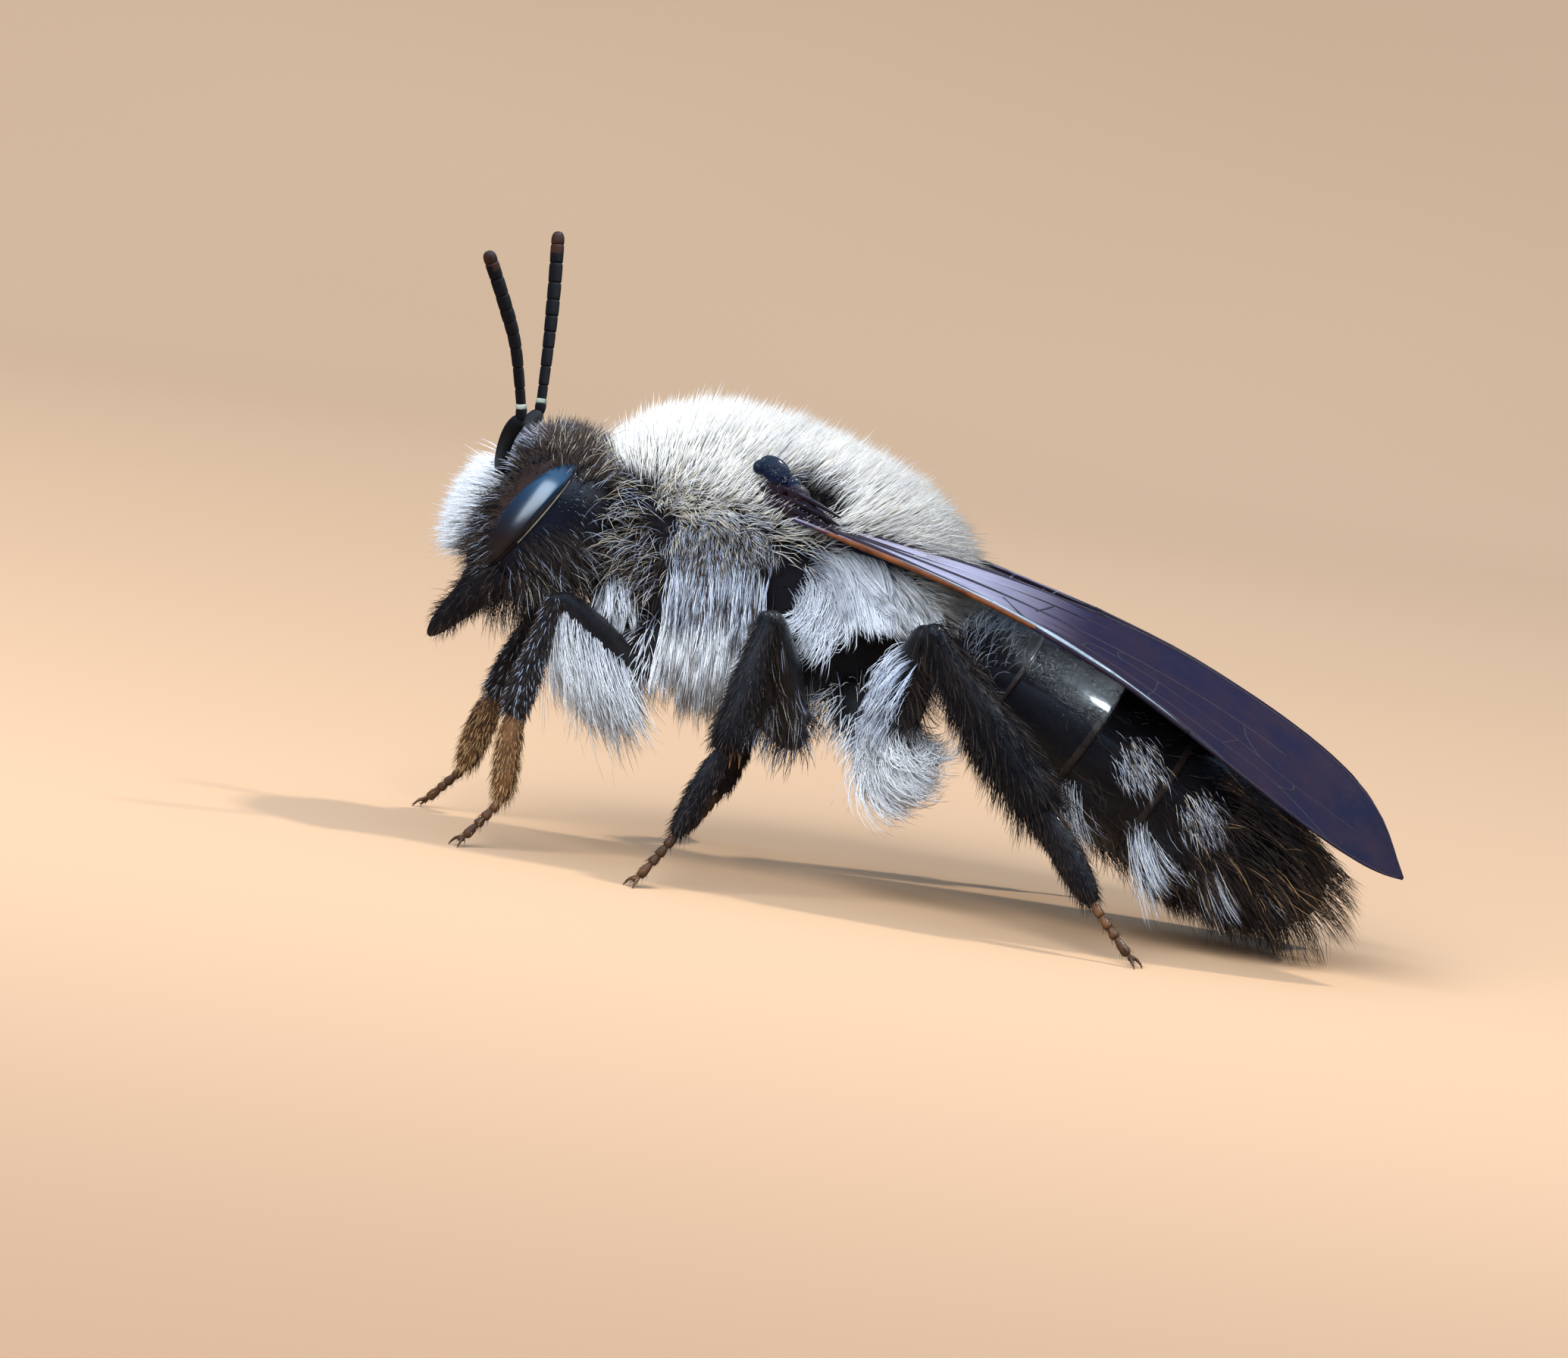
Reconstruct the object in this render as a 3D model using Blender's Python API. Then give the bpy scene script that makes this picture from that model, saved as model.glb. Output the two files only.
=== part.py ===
"""A grey-backed mining bee, a female, standing on its six feet at its real size.

The head points to -X, the left side to -Y, and the feet stand on the plane Z = 0. The solids have the
outline of the bee with its coat of hair. Every piece is a loft of rings about its own axis: its length,
height, depth and width are named sizes, and an arch gives how each rises and falls along the axis.
A piece that meets another is parted from it by a thin cut, made with a slightly grown copy of the other.
"""

import math
from dataclasses import dataclass

import bmesh
import bpy
from mathutils import Matrix, Vector

MM = 0.001  # every size below is in millimetres, and the empty that carries the bee brings it to metres
PART_GAP = 0.07  # the width of the thin cuts between pieces

# The axes of the body in the middle plane: (X, Z) of the two ends.
THORAX_AXIS = ((-5.45, 5.42), (0.55, 3.85))
ABDOMEN_AXIS = ((0.3, 4.2), (6.78, 0.76))
HEAD_AXIS = ((-5.05, 6.2), (-6.8, 3.52))  # from the crown of the head to the lip

BODY_SIDES = 20
SEGMENT_SHARES = (0.0, 0.19, 0.385, 0.57, 0.73, 0.87, 1.0)  # where the abdomen's rings part
SEGMENT_STEP = 0.05  # how much lower a ring is at its front than at its rear edge

EYE_LENGTH = 2.0
EYE_PLACE = (1.72, -0.05, 0.45)  # sideways, to the face and along the head's axis, to the eye's upper end
ANTENNA_SOCKET = (0.4, 0.3, 1.1)  # the same, from the head's crown
MANDIBLE_ROOT = (1.05, 0.1, 2.5)
MANDIBLE_TIP = (0.36, 0.12, 3.95)
HEAD_SIDES = (("left", 1), ("right", -1))  # the head's own X axis points to the bee's left
ANTENNA_JOINTS = {  # the elbow and the tip of each antenna
    "left": ((-6.22, -1.45, 6.25), (-6.84, -2.0, 8.5)),
    "right": ((-6.1, 1.45, 6.4), (-6.25, 1.95, 8.95)),
}

LIMB_SIDES = 8
LEG_SEGMENTS = ("coxa", "femur", "tibia", "basitarsus", "foot")
# The joints of each leg from the body to the foot: (X, distance from the middle plane, Z).
LEG_JOINTS = {
    "front_left": ((-3.7, 0.75, 3.55), (-3.95, 1.1, 2.8), (-5.3, 1.75, 3.82), (-5.66, 1.95, 2.0),
                   (-5.64, 2.05, 0.72), (-6.1, 2.3, 0.17)),
    "front_right": ((-3.7, 0.75, 3.55), (-4.0, 1.1, 2.8), (-5.55, 1.75, 3.6), (-6.15, 1.95, 1.9),
                    (-6.45, 2.05, 0.7), (-6.95, 2.25, 0.17)),
    "middle_left": ((-2.1, 0.8, 2.8), (-1.5, 1.45, 2.2), (-2.15, 2.75, 4.12), (-2.5, 3.35, 2.1),
                    (-3.0, 3.75, 0.8), (-3.45, 4.0, 0.17)),
    "middle_right": ((-2.1, 0.8, 2.8), (-1.5, 1.45, 2.2), (-2.0, 2.75, 4.12), (-2.15, 3.35, 2.1),
                     (-2.5, 3.75, 0.8), (-2.9, 4.05, 0.17)),
    "hind_left": ((-0.9, 0.8, 3.0), (-0.1, 1.4, 2.2), (0.15, 2.7, 4.25), (2.2, 3.45, 1.95),
                  (3.1, 3.9, 0.8), (3.75, 4.2, 0.17)),
    "hind_right": ((-0.9, 0.8, 3.0), (-0.1, 1.4, 2.2), (0.0, 2.7, 4.25), (1.9, 3.5, 1.95),
                   (2.75, 3.95, 0.8), (3.4, 4.25, 0.17)),
}
# The radii of the five segments of each leg, with their hair.
LEG_RADII = {
    "front": (0.42, 0.33, 0.31, 0.29, 0.25),
    "middle": (0.46, 0.38, 0.38, 0.30, 0.25),
    "hind": (0.5, 0.42, 0.56, 0.38, 0.25),
}
FEMUR_FRINGE = {"front": 0.5, "middle": 0.3, "hind": 0.3}  # how far the long hair hangs below the thigh

BLACK = (0.012, 0.011, 0.014)
WHITE_PILE = (0.80, 0.78, 0.73)
DARK_PILE = (0.035, 0.03, 0.028)


@dataclass(frozen=True)
class Arch:
    """How far a form stands out on one side of its axis: nothing at both ends, and height at peak."""

    height: float
    peak: float = 0.5  # as a share of the form's length
    fullness: float = 2.4  # 2 is elliptical, and more is blunter

    def at(self, share):
        """The distance from the axis at this share of the length."""
        reach = self.peak if share < self.peak else 1.0 - self.peak
        away = min(abs(share - self.peak) / reach, 1.0)
        return self.height * (1.0 - away**self.fullness) ** 0.5


@dataclass(frozen=True)
class Form:
    """A rounded body about an axis: local Z runs along it, and local Y is its upper side."""

    length: float
    up: Arch
    down: Arch
    side: Arch
    squareness: float = 2.0  # the power of the section's superellipse: 2 is an ellipse

    def ring(self, share, sides, swell=0.0):
        """The section at this share of the length, as points."""
        up, down, side = (arch.at(share) + swell for arch in (self.up, self.down, self.side))
        return [
            Vector((side * x, (up if y > 0 else down) * y, share * self.length))
            for x, y in superellipse(sides, self.squareness)
        ]

    def whole(self, rings, sides=BODY_SIDES):
        """The form with both its ends rounded off: the rings lie closer together near the ends."""
        shares = [0.5 - 0.5 * math.cos(math.pi * (k + 0.5) / rings) for k in range(rings)]
        tips = Vector((0, 0, 0)), Vector((0, 0, self.length))
        return loft([self.ring(share, sides) for share in shares], *tips)


@dataclass(frozen=True)
class Wing:
    """A thick stand-in for a wing: a plate that follows its two edges and is bowed along its length."""

    root: tuple  # (X, distance from the middle plane, Z)
    tip: tuple
    edges: tuple  # (share of the length, leading edge, trailing edge), both from the root-to-tip line
    bow: float  # how far the plate rises over the straight line
    slope: float  # of the plate across its width, outer edge down, in degrees
    sag: float = 0.0  # the share of the bow that its tip end lacks
    twist: float = 0.0  # how much steeper the plate is at its tip, in degrees
    thickness: float = 0.5

    def plate(self, sign):
        """The placement and the mesh of the wing on the side that sign gives."""
        root, tip = (Vector((x, sign * y, z)) for x, y, z in (self.root, self.tip))
        slope = math.radians(self.slope)
        matrix = placement(root, tip - root, (0, sign * math.sin(slope), math.cos(slope)))
        length = (tip - root).length
        rings = []
        for share, lead, trail in self.edges:
            middle, reach = 0.5 * (lead - trail), 0.5 * (lead + trail)
            lift = self.bow * math.sin(math.pi * share) * (1.0 - self.sag * share**2.5)
            steeper = Matrix.Rotation(-sign * math.radians(self.twist) * max(0.0, (share - 0.4) / 0.6) ** 1.2, 3, "Z")
            rings.append([
                Vector((0, lift, share * length))
                + steeper @ Vector((sign * (middle + reach * x), 0.5 * self.thickness * y, 0))
                for x, y in superellipse(12, 5.0)
            ])
        return matrix, loft(rings)


FOREWING = Wing(
    root=(-2.0, 2.02, 5.55), tip=(7.6, 2.4, 1.66), bow=0.66, sag=0.45, slope=11, twist=14,
    edges=((0.0, 0.28, 0.28), (0.08, 0.32, 0.36), (0.2, 0.42, 0.68), (0.35, 0.55, 1.2), (0.5, 0.66, 1.8),
           (0.65, 0.7, 2.15), (0.78, 0.64, 2.1), (0.86, 0.52, 1.9), (0.91, 0.4, 1.6), (0.95, 0.26, 1.08),
           (0.98, 0.12, 0.6), (1.0, -0.02, 0.32)),
)
HINDWING = Wing(
    root=(-1.45, 1.5, 5.6), tip=(4.9, 0.5, 3.6), bow=0.5, slope=11,
    edges=((0.0, 0.4, 0.15), (0.15, 0.6, 0.25), (0.3, 0.8, 0.4), (0.45, 0.9, 0.75), (0.7, 0.9, 0.62),
           (0.9, 0.6, 0.45), (1.0, 0.3, 0.3)),
)


def superellipse(sides, power):
    """Points round a superellipse of radius 1, turned so that no point lies on its axes' ends."""
    for k in range(sides):
        turn = 2 * math.pi * (k + 0.5) / sides
        c, s = math.cos(turn), math.sin(turn)
        yield math.copysign(abs(c) ** (2 / power), c), math.copysign(abs(s) ** (2 / power), s)


def placement(start, axis, upper):
    """The matrix of a piece that starts at start, runs along axis and has its upper side towards upper."""
    z = Vector(axis).normalized()
    x = Vector(upper).cross(z).normalized()
    matrix = Matrix((x, z.cross(x), z)).transposed().to_4x4()
    matrix.translation = Vector(start)
    return matrix


def in_plane(ends):
    """Placement and length of a form whose axis lies in the bee's middle plane, from (X, Z) to (X, Z)."""
    (x0, z0), (x1, z1) = ends
    axis = Vector((x1 - x0, 0, z1 - z0))
    upper = Vector((-axis.z, 0, axis.x)) if axis.x > 0 else Vector((axis.z, 0, -axis.x))
    return placement((x0, 0, z0), axis, upper), axis.length


def loft(rings, front_tip=None, rear_tip=None):
    """A closed skin over rings of points. An end is drawn out to its tip, or is flat without one."""
    bm = bmesh.new()
    loops = []
    for ring in rings:
        verts = [bm.verts.new(point) for point in ring]
        loops.append((verts, [bm.edges.new(pair) for pair in zip(verts, verts[1:] + verts[:1])]))
    for (_, first), (_, second) in zip(loops, loops[1:]):
        bmesh.ops.bridge_loops(bm, edges=first + second)
    for (verts, _), tip in ((loops[0], front_tip), (loops[-1], rear_tip)):
        cap = bm.faces.new(verts)
        if tip is not None:
            bmesh.ops.poke(bm, faces=[cap])["verts"][0].co = tip
    bmesh.ops.triangulate(bm, faces=bm.faces)  # flat faces, so that the cuts come out exact
    bmesh.ops.recalc_face_normals(bm, faces=bm.faces)
    return bm


def capsule(length, radii, hang=0.0):
    """A limb segment: flat at its start, swollen in the middle, and a ball about its far joint.

    The radii are those at its start, middle and far joint. Its hair hangs below its middle by hang.
    """
    start, middle, end = radii
    rings = [(0.0, start, 0.0), (0.3, middle, hang), (0.65, middle, hang), (1.0, end, 0.0)]
    rings = [(share * length, radius, below) for share, radius, below in rings]
    for lean in (math.radians(35), math.radians(65)):
        rings.append((length + end * math.sin(lean), end * math.cos(lean), 0.0))
    return loft([
        [Vector((radius * x, radius * y - (below if y < 0 else 0.0), z))
         for x, y in superellipse(LIMB_SIDES, 2.0)]
        for z, radius, below in rings
    ], rear_tip=Vector((0, 0, length + end)))


def finish_material(name, colour, roughness):
    """A plain material for one kind of surface."""
    material = bpy.data.materials.new(name)
    material.use_nodes = True
    shader = material.node_tree.nodes["Principled BSDF"]
    shader.inputs["Base Color"].default_value = (*colour, 1.0)
    shader.inputs["Roughness"].default_value = roughness
    material.diffuse_color = (*colour, 1.0)
    return material


class Bee:
    """The bee's pieces, the cutters that part them, and the empty that carries them all."""

    def __init__(self):
        self.pieces = bpy.data.collections.new("mining_bee")
        self.cutters = bpy.data.collections.new("cutters")
        for collection in (self.pieces, self.cutters):
            bpy.context.scene.collection.children.link(collection)
        self.root = bpy.data.objects.new("mining_bee", None)
        self.root.scale = (MM, MM, MM)
        self.pieces.objects.link(self.root)
        self.finishes = {
            "chitin": finish_material("chitin", BLACK, 0.3),
            "pale_pile": finish_material("pale_pile", WHITE_PILE, 0.9),
            "dark_pile": finish_material("dark_pile", DARK_PILE, 0.85),
            "eye": finish_material("eye", (0.01, 0.012, 0.02), 0.15),
            "wing": finish_material("wing", (0.05, 0.035, 0.05), 0.25),
        }

    def place(self, name, bm, matrix, collection):
        """An object in its place under the empty, from a bmesh."""
        mesh = bpy.data.meshes.new(name)
        bm.to_mesh(mesh)
        bm.free()
        mesh.shade_smooth()
        mesh.set_sharp_from_angle(angle=math.radians(50))
        obj = bpy.data.objects.new(name, mesh)
        collection.objects.link(obj)
        obj.parent = self.root
        obj.location = matrix.translation
        obj.rotation_euler = matrix.to_euler()
        return obj

    def add(self, name, bm, matrix, finish):
        """A visible piece."""
        piece = self.place(name, bm, matrix, self.pieces)
        piece.data.materials.append(self.finishes[finish])
        return piece

    def cutter_of(self, piece):
        """The hidden copy of a piece before its own cuts, grown all over by the gap."""
        name = piece.name + "_grown"
        if name not in self.cutters.objects:
            bm = bmesh.new()
            bm.from_mesh(piece.data)
            bm.normal_update()
            for vert, normal in [(vert, vert.normal.copy()) for vert in bm.verts]:
                vert.co += PART_GAP * normal
            self.add_cutter(name, bm, piece.matrix_basis)
        return self.cutters.objects[name]

    def add_cutter(self, name, bm, matrix):
        """A hidden helper."""
        cutter = self.place(name, bm, matrix, self.cutters)
        cutter.hide_render = True
        cutter.display_type = "WIRE"
        return cutter

    def cut(self, piece, cutter):
        """Takes the cutter's shape away from a piece."""
        modifier = piece.modifiers.new("cut_by_" + cutter.name, "BOOLEAN")
        modifier.operation = "DIFFERENCE"
        modifier.solver = "EXACT"
        modifier.object = cutter

    def part(self, piece, *neighbours):
        """Cuts a piece clear of its neighbours."""
        for neighbour in neighbours:
            self.cut(piece, self.cutter_of(neighbour))

    def centre(self):
        """Moves the bee sideways so that the middle of its box lies over the origin."""
        bpy.context.view_layer.update()
        graph = bpy.context.evaluated_depsgraph_get()
        corners = [
            piece.matrix_world @ Vector(corner)
            for piece in self.pieces.objects if piece.type == "MESH"
            for corner in piece.evaluated_get(graph).bound_box
        ]
        for axis in (0, 1):
            places = [corner[axis] for corner in corners]
            self.root.location[axis] = -0.5 * (min(places) + max(places))


def make_head(bee):
    """The head with its hair, and the eyes let into its sides."""
    matrix, length = in_plane(HEAD_AXIS)
    form = Form(length, up=Arch(1.15, 0.42), down=Arch(1.2, 0.55, 2.6), side=Arch(2.08, 0.42, 2.6),
                squareness=2.2)
    head = bee.add("head", form.whole(10), matrix, "dark_pile")
    eye_form = Form(EYE_LENGTH, up=Arch(0.32), down=Arch(0.32), side=Arch(0.42))
    x, y, z = EYE_PLACE
    for side, sign in HEAD_SIDES:
        place = matrix @ Matrix.Translation((sign * x, y, z))
        bee.part(head, bee.add("eye_" + side, eye_form.whole(7, 14), place, "eye"))
    return head, matrix


def make_limb(bee, name, start, end, radii, finish, hang=0.0):
    """One limb segment between two joints, with its upper side turned up."""
    axis = Vector(end) - Vector(start)
    matrix = placement(start, axis, (0.02, 0.01, 1.0))
    return bee.add(name, capsule(axis.length, radii, hang), matrix, finish)


def make_antennae(bee, head, head_matrix):
    """The stem out of the face and the long whip on it, on both sides."""
    for side, sign in HEAD_SIDES:
        x, y, z = ANTENNA_SOCKET
        socket = head_matrix @ Vector((sign * x, y, z))
        elbow, tip = ANTENNA_JOINTS[side]
        stem = make_limb(bee, "antenna_scape_" + side, socket, elbow, (0.25, 0.25, 0.26), "chitin")
        bee.part(stem, head)
        whip = make_limb(bee, "antenna_flagellum_" + side, elbow, tip, (0.25, 0.25, 0.25), "chitin")
        bee.part(whip, stem)


def make_mandibles(bee, head, head_matrix):
    """The jaws, which leave the cheeks and close in front of the lip."""
    for side, sign in HEAD_SIDES:
        root, tip = (head_matrix @ Vector((sign * x, y, z)) for x, y, z in (MANDIBLE_ROOT, MANDIBLE_TIP))
        bee.part(make_limb(bee, "mandible_" + side, root, tip, (0.3, 0.3, 0.24), "chitin"), head)


def make_thorax(bee, head):
    """The thorax with its deep pile."""
    matrix, length = in_plane(THORAX_AXIS)
    form = Form(length, up=Arch(2.36, 0.483, 2.8), down=Arch(2.42, 0.54, 2.4), side=Arch(2.3, 0.49, 2.6),
                squareness=2.1)
    thorax = bee.add("thorax", form.whole(13, BODY_SIDES + 4), matrix, "pale_pile")
    bee.part(thorax, head)
    return thorax


def make_wings(bee, thorax):
    """The wings and the shiny scales over their roots, which lie in hollows of the pile."""
    scale_form = Form(0.95, up=Arch(0.3), down=Arch(0.3), side=Arch(0.3))
    for side, sign in (("left", -1), ("right", 1)):
        matrix, plate = FOREWING.plate(sign)
        forewing = bee.add("forewing_" + side, plate, matrix, "wing")
        matrix, plate = HINDWING.plate(sign)
        hindwing = bee.add("hindwing_" + side, plate, matrix, "wing")
        matrix = placement((-2.72, sign * 1.98, 6.36), (0.8, sign * 0.05, -0.45), (0, 0, 1))
        scale = bee.add("tegula_" + side, scale_form.whole(5, 10), matrix, "chitin")
        bee.part(hindwing, forewing)
        bee.part(scale, forewing)
        bee.part(thorax, forewing, hindwing, scale)


def make_abdomen(bee, thorax):
    """Six rings that part at thin cuts. Each starts a little lower than the last one's rear edge."""
    matrix, length = in_plane(ABDOMEN_AXIS)
    form = Form(length, up=Arch(1.22, 0.5, 3.0), down=Arch(1.42, 0.44, 2.5), side=Arch(2.36, 0.45, 2.7),
                squareness=2.15)
    half_gap = 0.5 * PART_GAP / length
    count = len(SEGMENT_SHARES) - 1
    for index, (front, rear) in enumerate(zip(SEGMENT_SHARES, SEGMENT_SHARES[1:])):
        first, last = index == 0, index == count - 1
        start = 0.012 if first else front + half_gap
        stop = 0.985 if last else rear - half_gap
        rings = []
        for step in (0.0, 0.25, 0.5, 0.75, 1.0):
            swell = 0.0 if first else SEGMENT_STEP * (step - 1.0)
            rings.append(form.ring(start + step * (stop - start), BODY_SIDES, swell))
        tips = (Vector((0, 0, 0)) if first else None, Vector((0, 0, length)) if last else None)
        ring = bee.add(f"abdomen_segment_{index + 1}", loft(rings, *tips), matrix, "chitin")
        if first:
            bee.part(ring, thorax)


def make_leg(bee, name, joints, thorax, floor):
    """Five segments from the thorax to the flat foot, each parted from the one before it."""
    pair, side = name.split("_")
    sign = -1 if side == "left" else 1
    points = [Vector((x, sign * y, z)) for x, y, z in joints]
    previous = thorax
    for segment, radius, start, end in zip(LEG_SEGMENTS, LEG_RADII[pair], points, points[1:]):
        radii = (radius, radius, radius) if segment == "foot" else (0.7 * radius, radius, 0.86 * radius)
        finish = "dark_pile" if segment in ("tibia", "basitarsus") else "chitin"
        hang = FEMUR_FRINGE[pair] if segment == "femur" else 0.0
        piece = make_limb(bee, f"leg_{name}_{segment}", start, end, radii, finish, hang)
        bee.part(piece, previous)
        if segment == "femur":
            bee.part(piece, thorax)
        if segment == "foot":
            bee.cut(piece, floor)
        previous = piece


def make_floor(bee):
    """A hidden block whose top is the floor, which cuts each foot flat."""
    bm = bmesh.new()
    bmesh.ops.create_cube(bm, size=1.0)
    bmesh.ops.scale(bm, vec=(30, 30, 4), verts=bm.verts)
    return bee.add_cutter("floor", bm, Matrix.Translation((0, 0, -2)))


def main():
    for obj in list(bpy.data.objects):
        bpy.data.objects.remove(obj)
    bee = Bee()
    head, head_matrix = make_head(bee)
    make_antennae(bee, head, head_matrix)
    make_mandibles(bee, head, head_matrix)
    thorax = make_thorax(bee, head)
    make_wings(bee, thorax)
    make_abdomen(bee, thorax)
    floor = make_floor(bee)
    for name, joints in LEG_JOINTS.items():
        make_leg(bee, name, joints, thorax, floor)
    bee.centre()


main()
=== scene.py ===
"""Dresses the frame of a female grey-backed mining bee: a still, life-size museum model on its six feet.

The bee is modelled in millimetres about its own middle plane: the head points to -X, the left side to -Y,
and the feet stand on Z = 0. The bench brings each finished piece into the frame, in metres. The shell is
made of plates and limbs, each a loft about its own axis, and the coat of tapered hairs grows from them.
"""

from __future__ import annotations

import logging
import math
from collections.abc import Iterable, Sequence
from dataclasses import dataclass, field, replace
from enum import Enum

import bmesh
import bpy
import numpy as np
from bmesh.types import BMesh
from bpy.types import Collection, Light, Material, Mesh, Node, NodeSocket, NodeTree, Object
from mathutils import Matrix, Vector
from mathutils.kdtree import KDTree

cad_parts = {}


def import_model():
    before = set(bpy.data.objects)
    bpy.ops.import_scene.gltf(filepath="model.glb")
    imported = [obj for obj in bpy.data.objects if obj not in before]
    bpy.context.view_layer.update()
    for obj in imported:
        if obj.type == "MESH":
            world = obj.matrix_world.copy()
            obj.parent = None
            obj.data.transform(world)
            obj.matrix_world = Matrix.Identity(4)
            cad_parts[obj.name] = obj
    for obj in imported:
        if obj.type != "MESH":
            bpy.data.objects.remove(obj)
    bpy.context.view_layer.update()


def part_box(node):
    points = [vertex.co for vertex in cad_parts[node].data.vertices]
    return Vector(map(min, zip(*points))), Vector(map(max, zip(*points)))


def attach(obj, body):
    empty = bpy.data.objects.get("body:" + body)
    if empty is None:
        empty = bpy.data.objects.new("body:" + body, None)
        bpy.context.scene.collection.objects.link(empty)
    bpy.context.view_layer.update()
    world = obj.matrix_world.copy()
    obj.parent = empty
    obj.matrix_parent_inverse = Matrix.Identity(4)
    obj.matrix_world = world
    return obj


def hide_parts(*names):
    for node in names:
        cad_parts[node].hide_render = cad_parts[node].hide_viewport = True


log = logging.getLogger("mining_bee")

MM = 0.001
TURN = 2.0 * math.pi
EYE_SOLID_MIDDLE = Vector((-5.801, -1.72, 4.959))  # of the left eye's solid, in the bee's own millimetres
SIDES = {"left": -1.0, "right": 1.0}
MOST_COAT_TRIANGLES = 180_000

Array = np.ndarray
Point = tuple[float, float, float]
Colour = tuple[float, float, float]
Stations = tuple[tuple[float, float, float], ...]  # share of the length, half width, half depth


class Slot(Enum):
    """The record's material slots."""

    CHITIN = "chitin"
    PALE = "pale_pile"
    DARK = "dark_pile"
    EYE = "eye"
    WING = "wing"


# ---- finishes


class Graph:
    """Adds nodes to one shader tree and links them."""

    def __init__(self, tree: NodeTree) -> None:
        """Keeps the tree."""
        self.tree = tree

    def add(self, kind: str, settings: dict | None = None, **inputs: object) -> Node:
        """Adds a node.

        Args:
            kind: the node's type name.
            settings: properties of the node itself.
            **inputs: what its inputs take, as in feed_all.

        Returns:
            The new node.
        """
        node = self.tree.nodes.new(kind)
        for key, value in (settings or {}).items():
            setattr(node, key, value)
        self.feed_all(node, **inputs)
        return node

    def feed(self, node: Node, name: str | int, value: object) -> None:
        """Links an output to an input, or sets the input to a value.

        Args:
            node: the node that takes it.
            name: the input's name or number.
            value: an output of another node, or a plain value.
        """
        socket = node.inputs[name]
        if isinstance(value, NodeSocket):
            self.tree.links.new(value, socket)
        else:
            socket.default_value = value

    def feed_all(self, node: Node, **inputs: object) -> None:
        """Feeds inputs by their names, with _ for a space."""
        for key, value in inputs.items():
            self.feed(node, key.replace("_", " "), value)

    def place_in_mm(self) -> NodeSocket:
        """The place on the object, in millimetres."""
        place = self.add("ShaderNodeTexCoord").outputs["Object"]
        scaled = self.add("ShaderNodeVectorMath", {"operation": "SCALE"}, Vector=place, Scale=1.0 / MM)
        return scaled.outputs[0]

    def mix(self, factor: object, low: object, high: object) -> NodeSocket:
        """A colour between two others.

        Args:
            factor: 0 for the first colour and 1 for the second.
            low: the first, as an output or three numbers.
            high: the second.

        Returns:
            The colour.
        """
        node = self.add("ShaderNodeMix", {"data_type": "RGBA"})
        self.feed(node, 0, factor)
        for index, colour in ((6, low), (7, high)):
            self.feed(node, index, colour if isinstance(colour, NodeSocket) else (*colour, 1.0))
        return node.outputs[2]

    def math(self, operation: str, *values: object) -> NodeSocket:
        """A sum, product or other operation on numbers.

        Args:
            operation: its name.
            *values: the numbers, as outputs or values.

        Returns:
            The result.
        """
        node = self.add("ShaderNodeMath", {"operation": operation})
        for index, value in enumerate(values):
            self.feed(node, index, value)
        return node.outputs[0]

    def stretch(self, value: object, low: float, high: float, *ends: float) -> NodeSocket:
        """Takes low..high smoothly to 0..1 or to other ends, and holds it there outside.

        Args:
            value: the number.
            low: what becomes the first end.
            high: what becomes the second.
            *ends: the two ends, where they aren't 0 and 1.

        Returns:
            The result.
        """
        start, stop = ends or (0.0, 1.0)
        smooth = self.add("ShaderNodeMapRange", {"interpolation_type": "SMOOTHSTEP"}, Value=value,
                          From_Min=low, From_Max=high, To_Min=start, To_Max=stop)
        return smooth.outputs[0]

    def noise(self, place: NodeSocket, scale: object, detail: float) -> NodeSocket:
        """Soft noise from 0 to 1."""
        return self.add("ShaderNodeTexNoise", Vector=place, Scale=scale, Detail=detail).outputs[0]

    def net(self, place: NodeSocket, scale: object, **inputs: object) -> NodeSocket:
        """The distance to the nearest line of a net of cells."""
        cells = self.add("ShaderNodeTexVoronoi", {"feature": "DISTANCE_TO_EDGE"}, Vector=place, Scale=scale,
                         **inputs)
        return cells.outputs["Distance"]

    def bump(self, height: NodeSocket, distance: float, strength: float) -> NodeSocket:
        """The normal of a surface with this height, whose unit is distance, in metres."""
        return self.add("ShaderNodeBump", Height=height, Distance=distance, Strength=strength).outputs[0]


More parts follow.
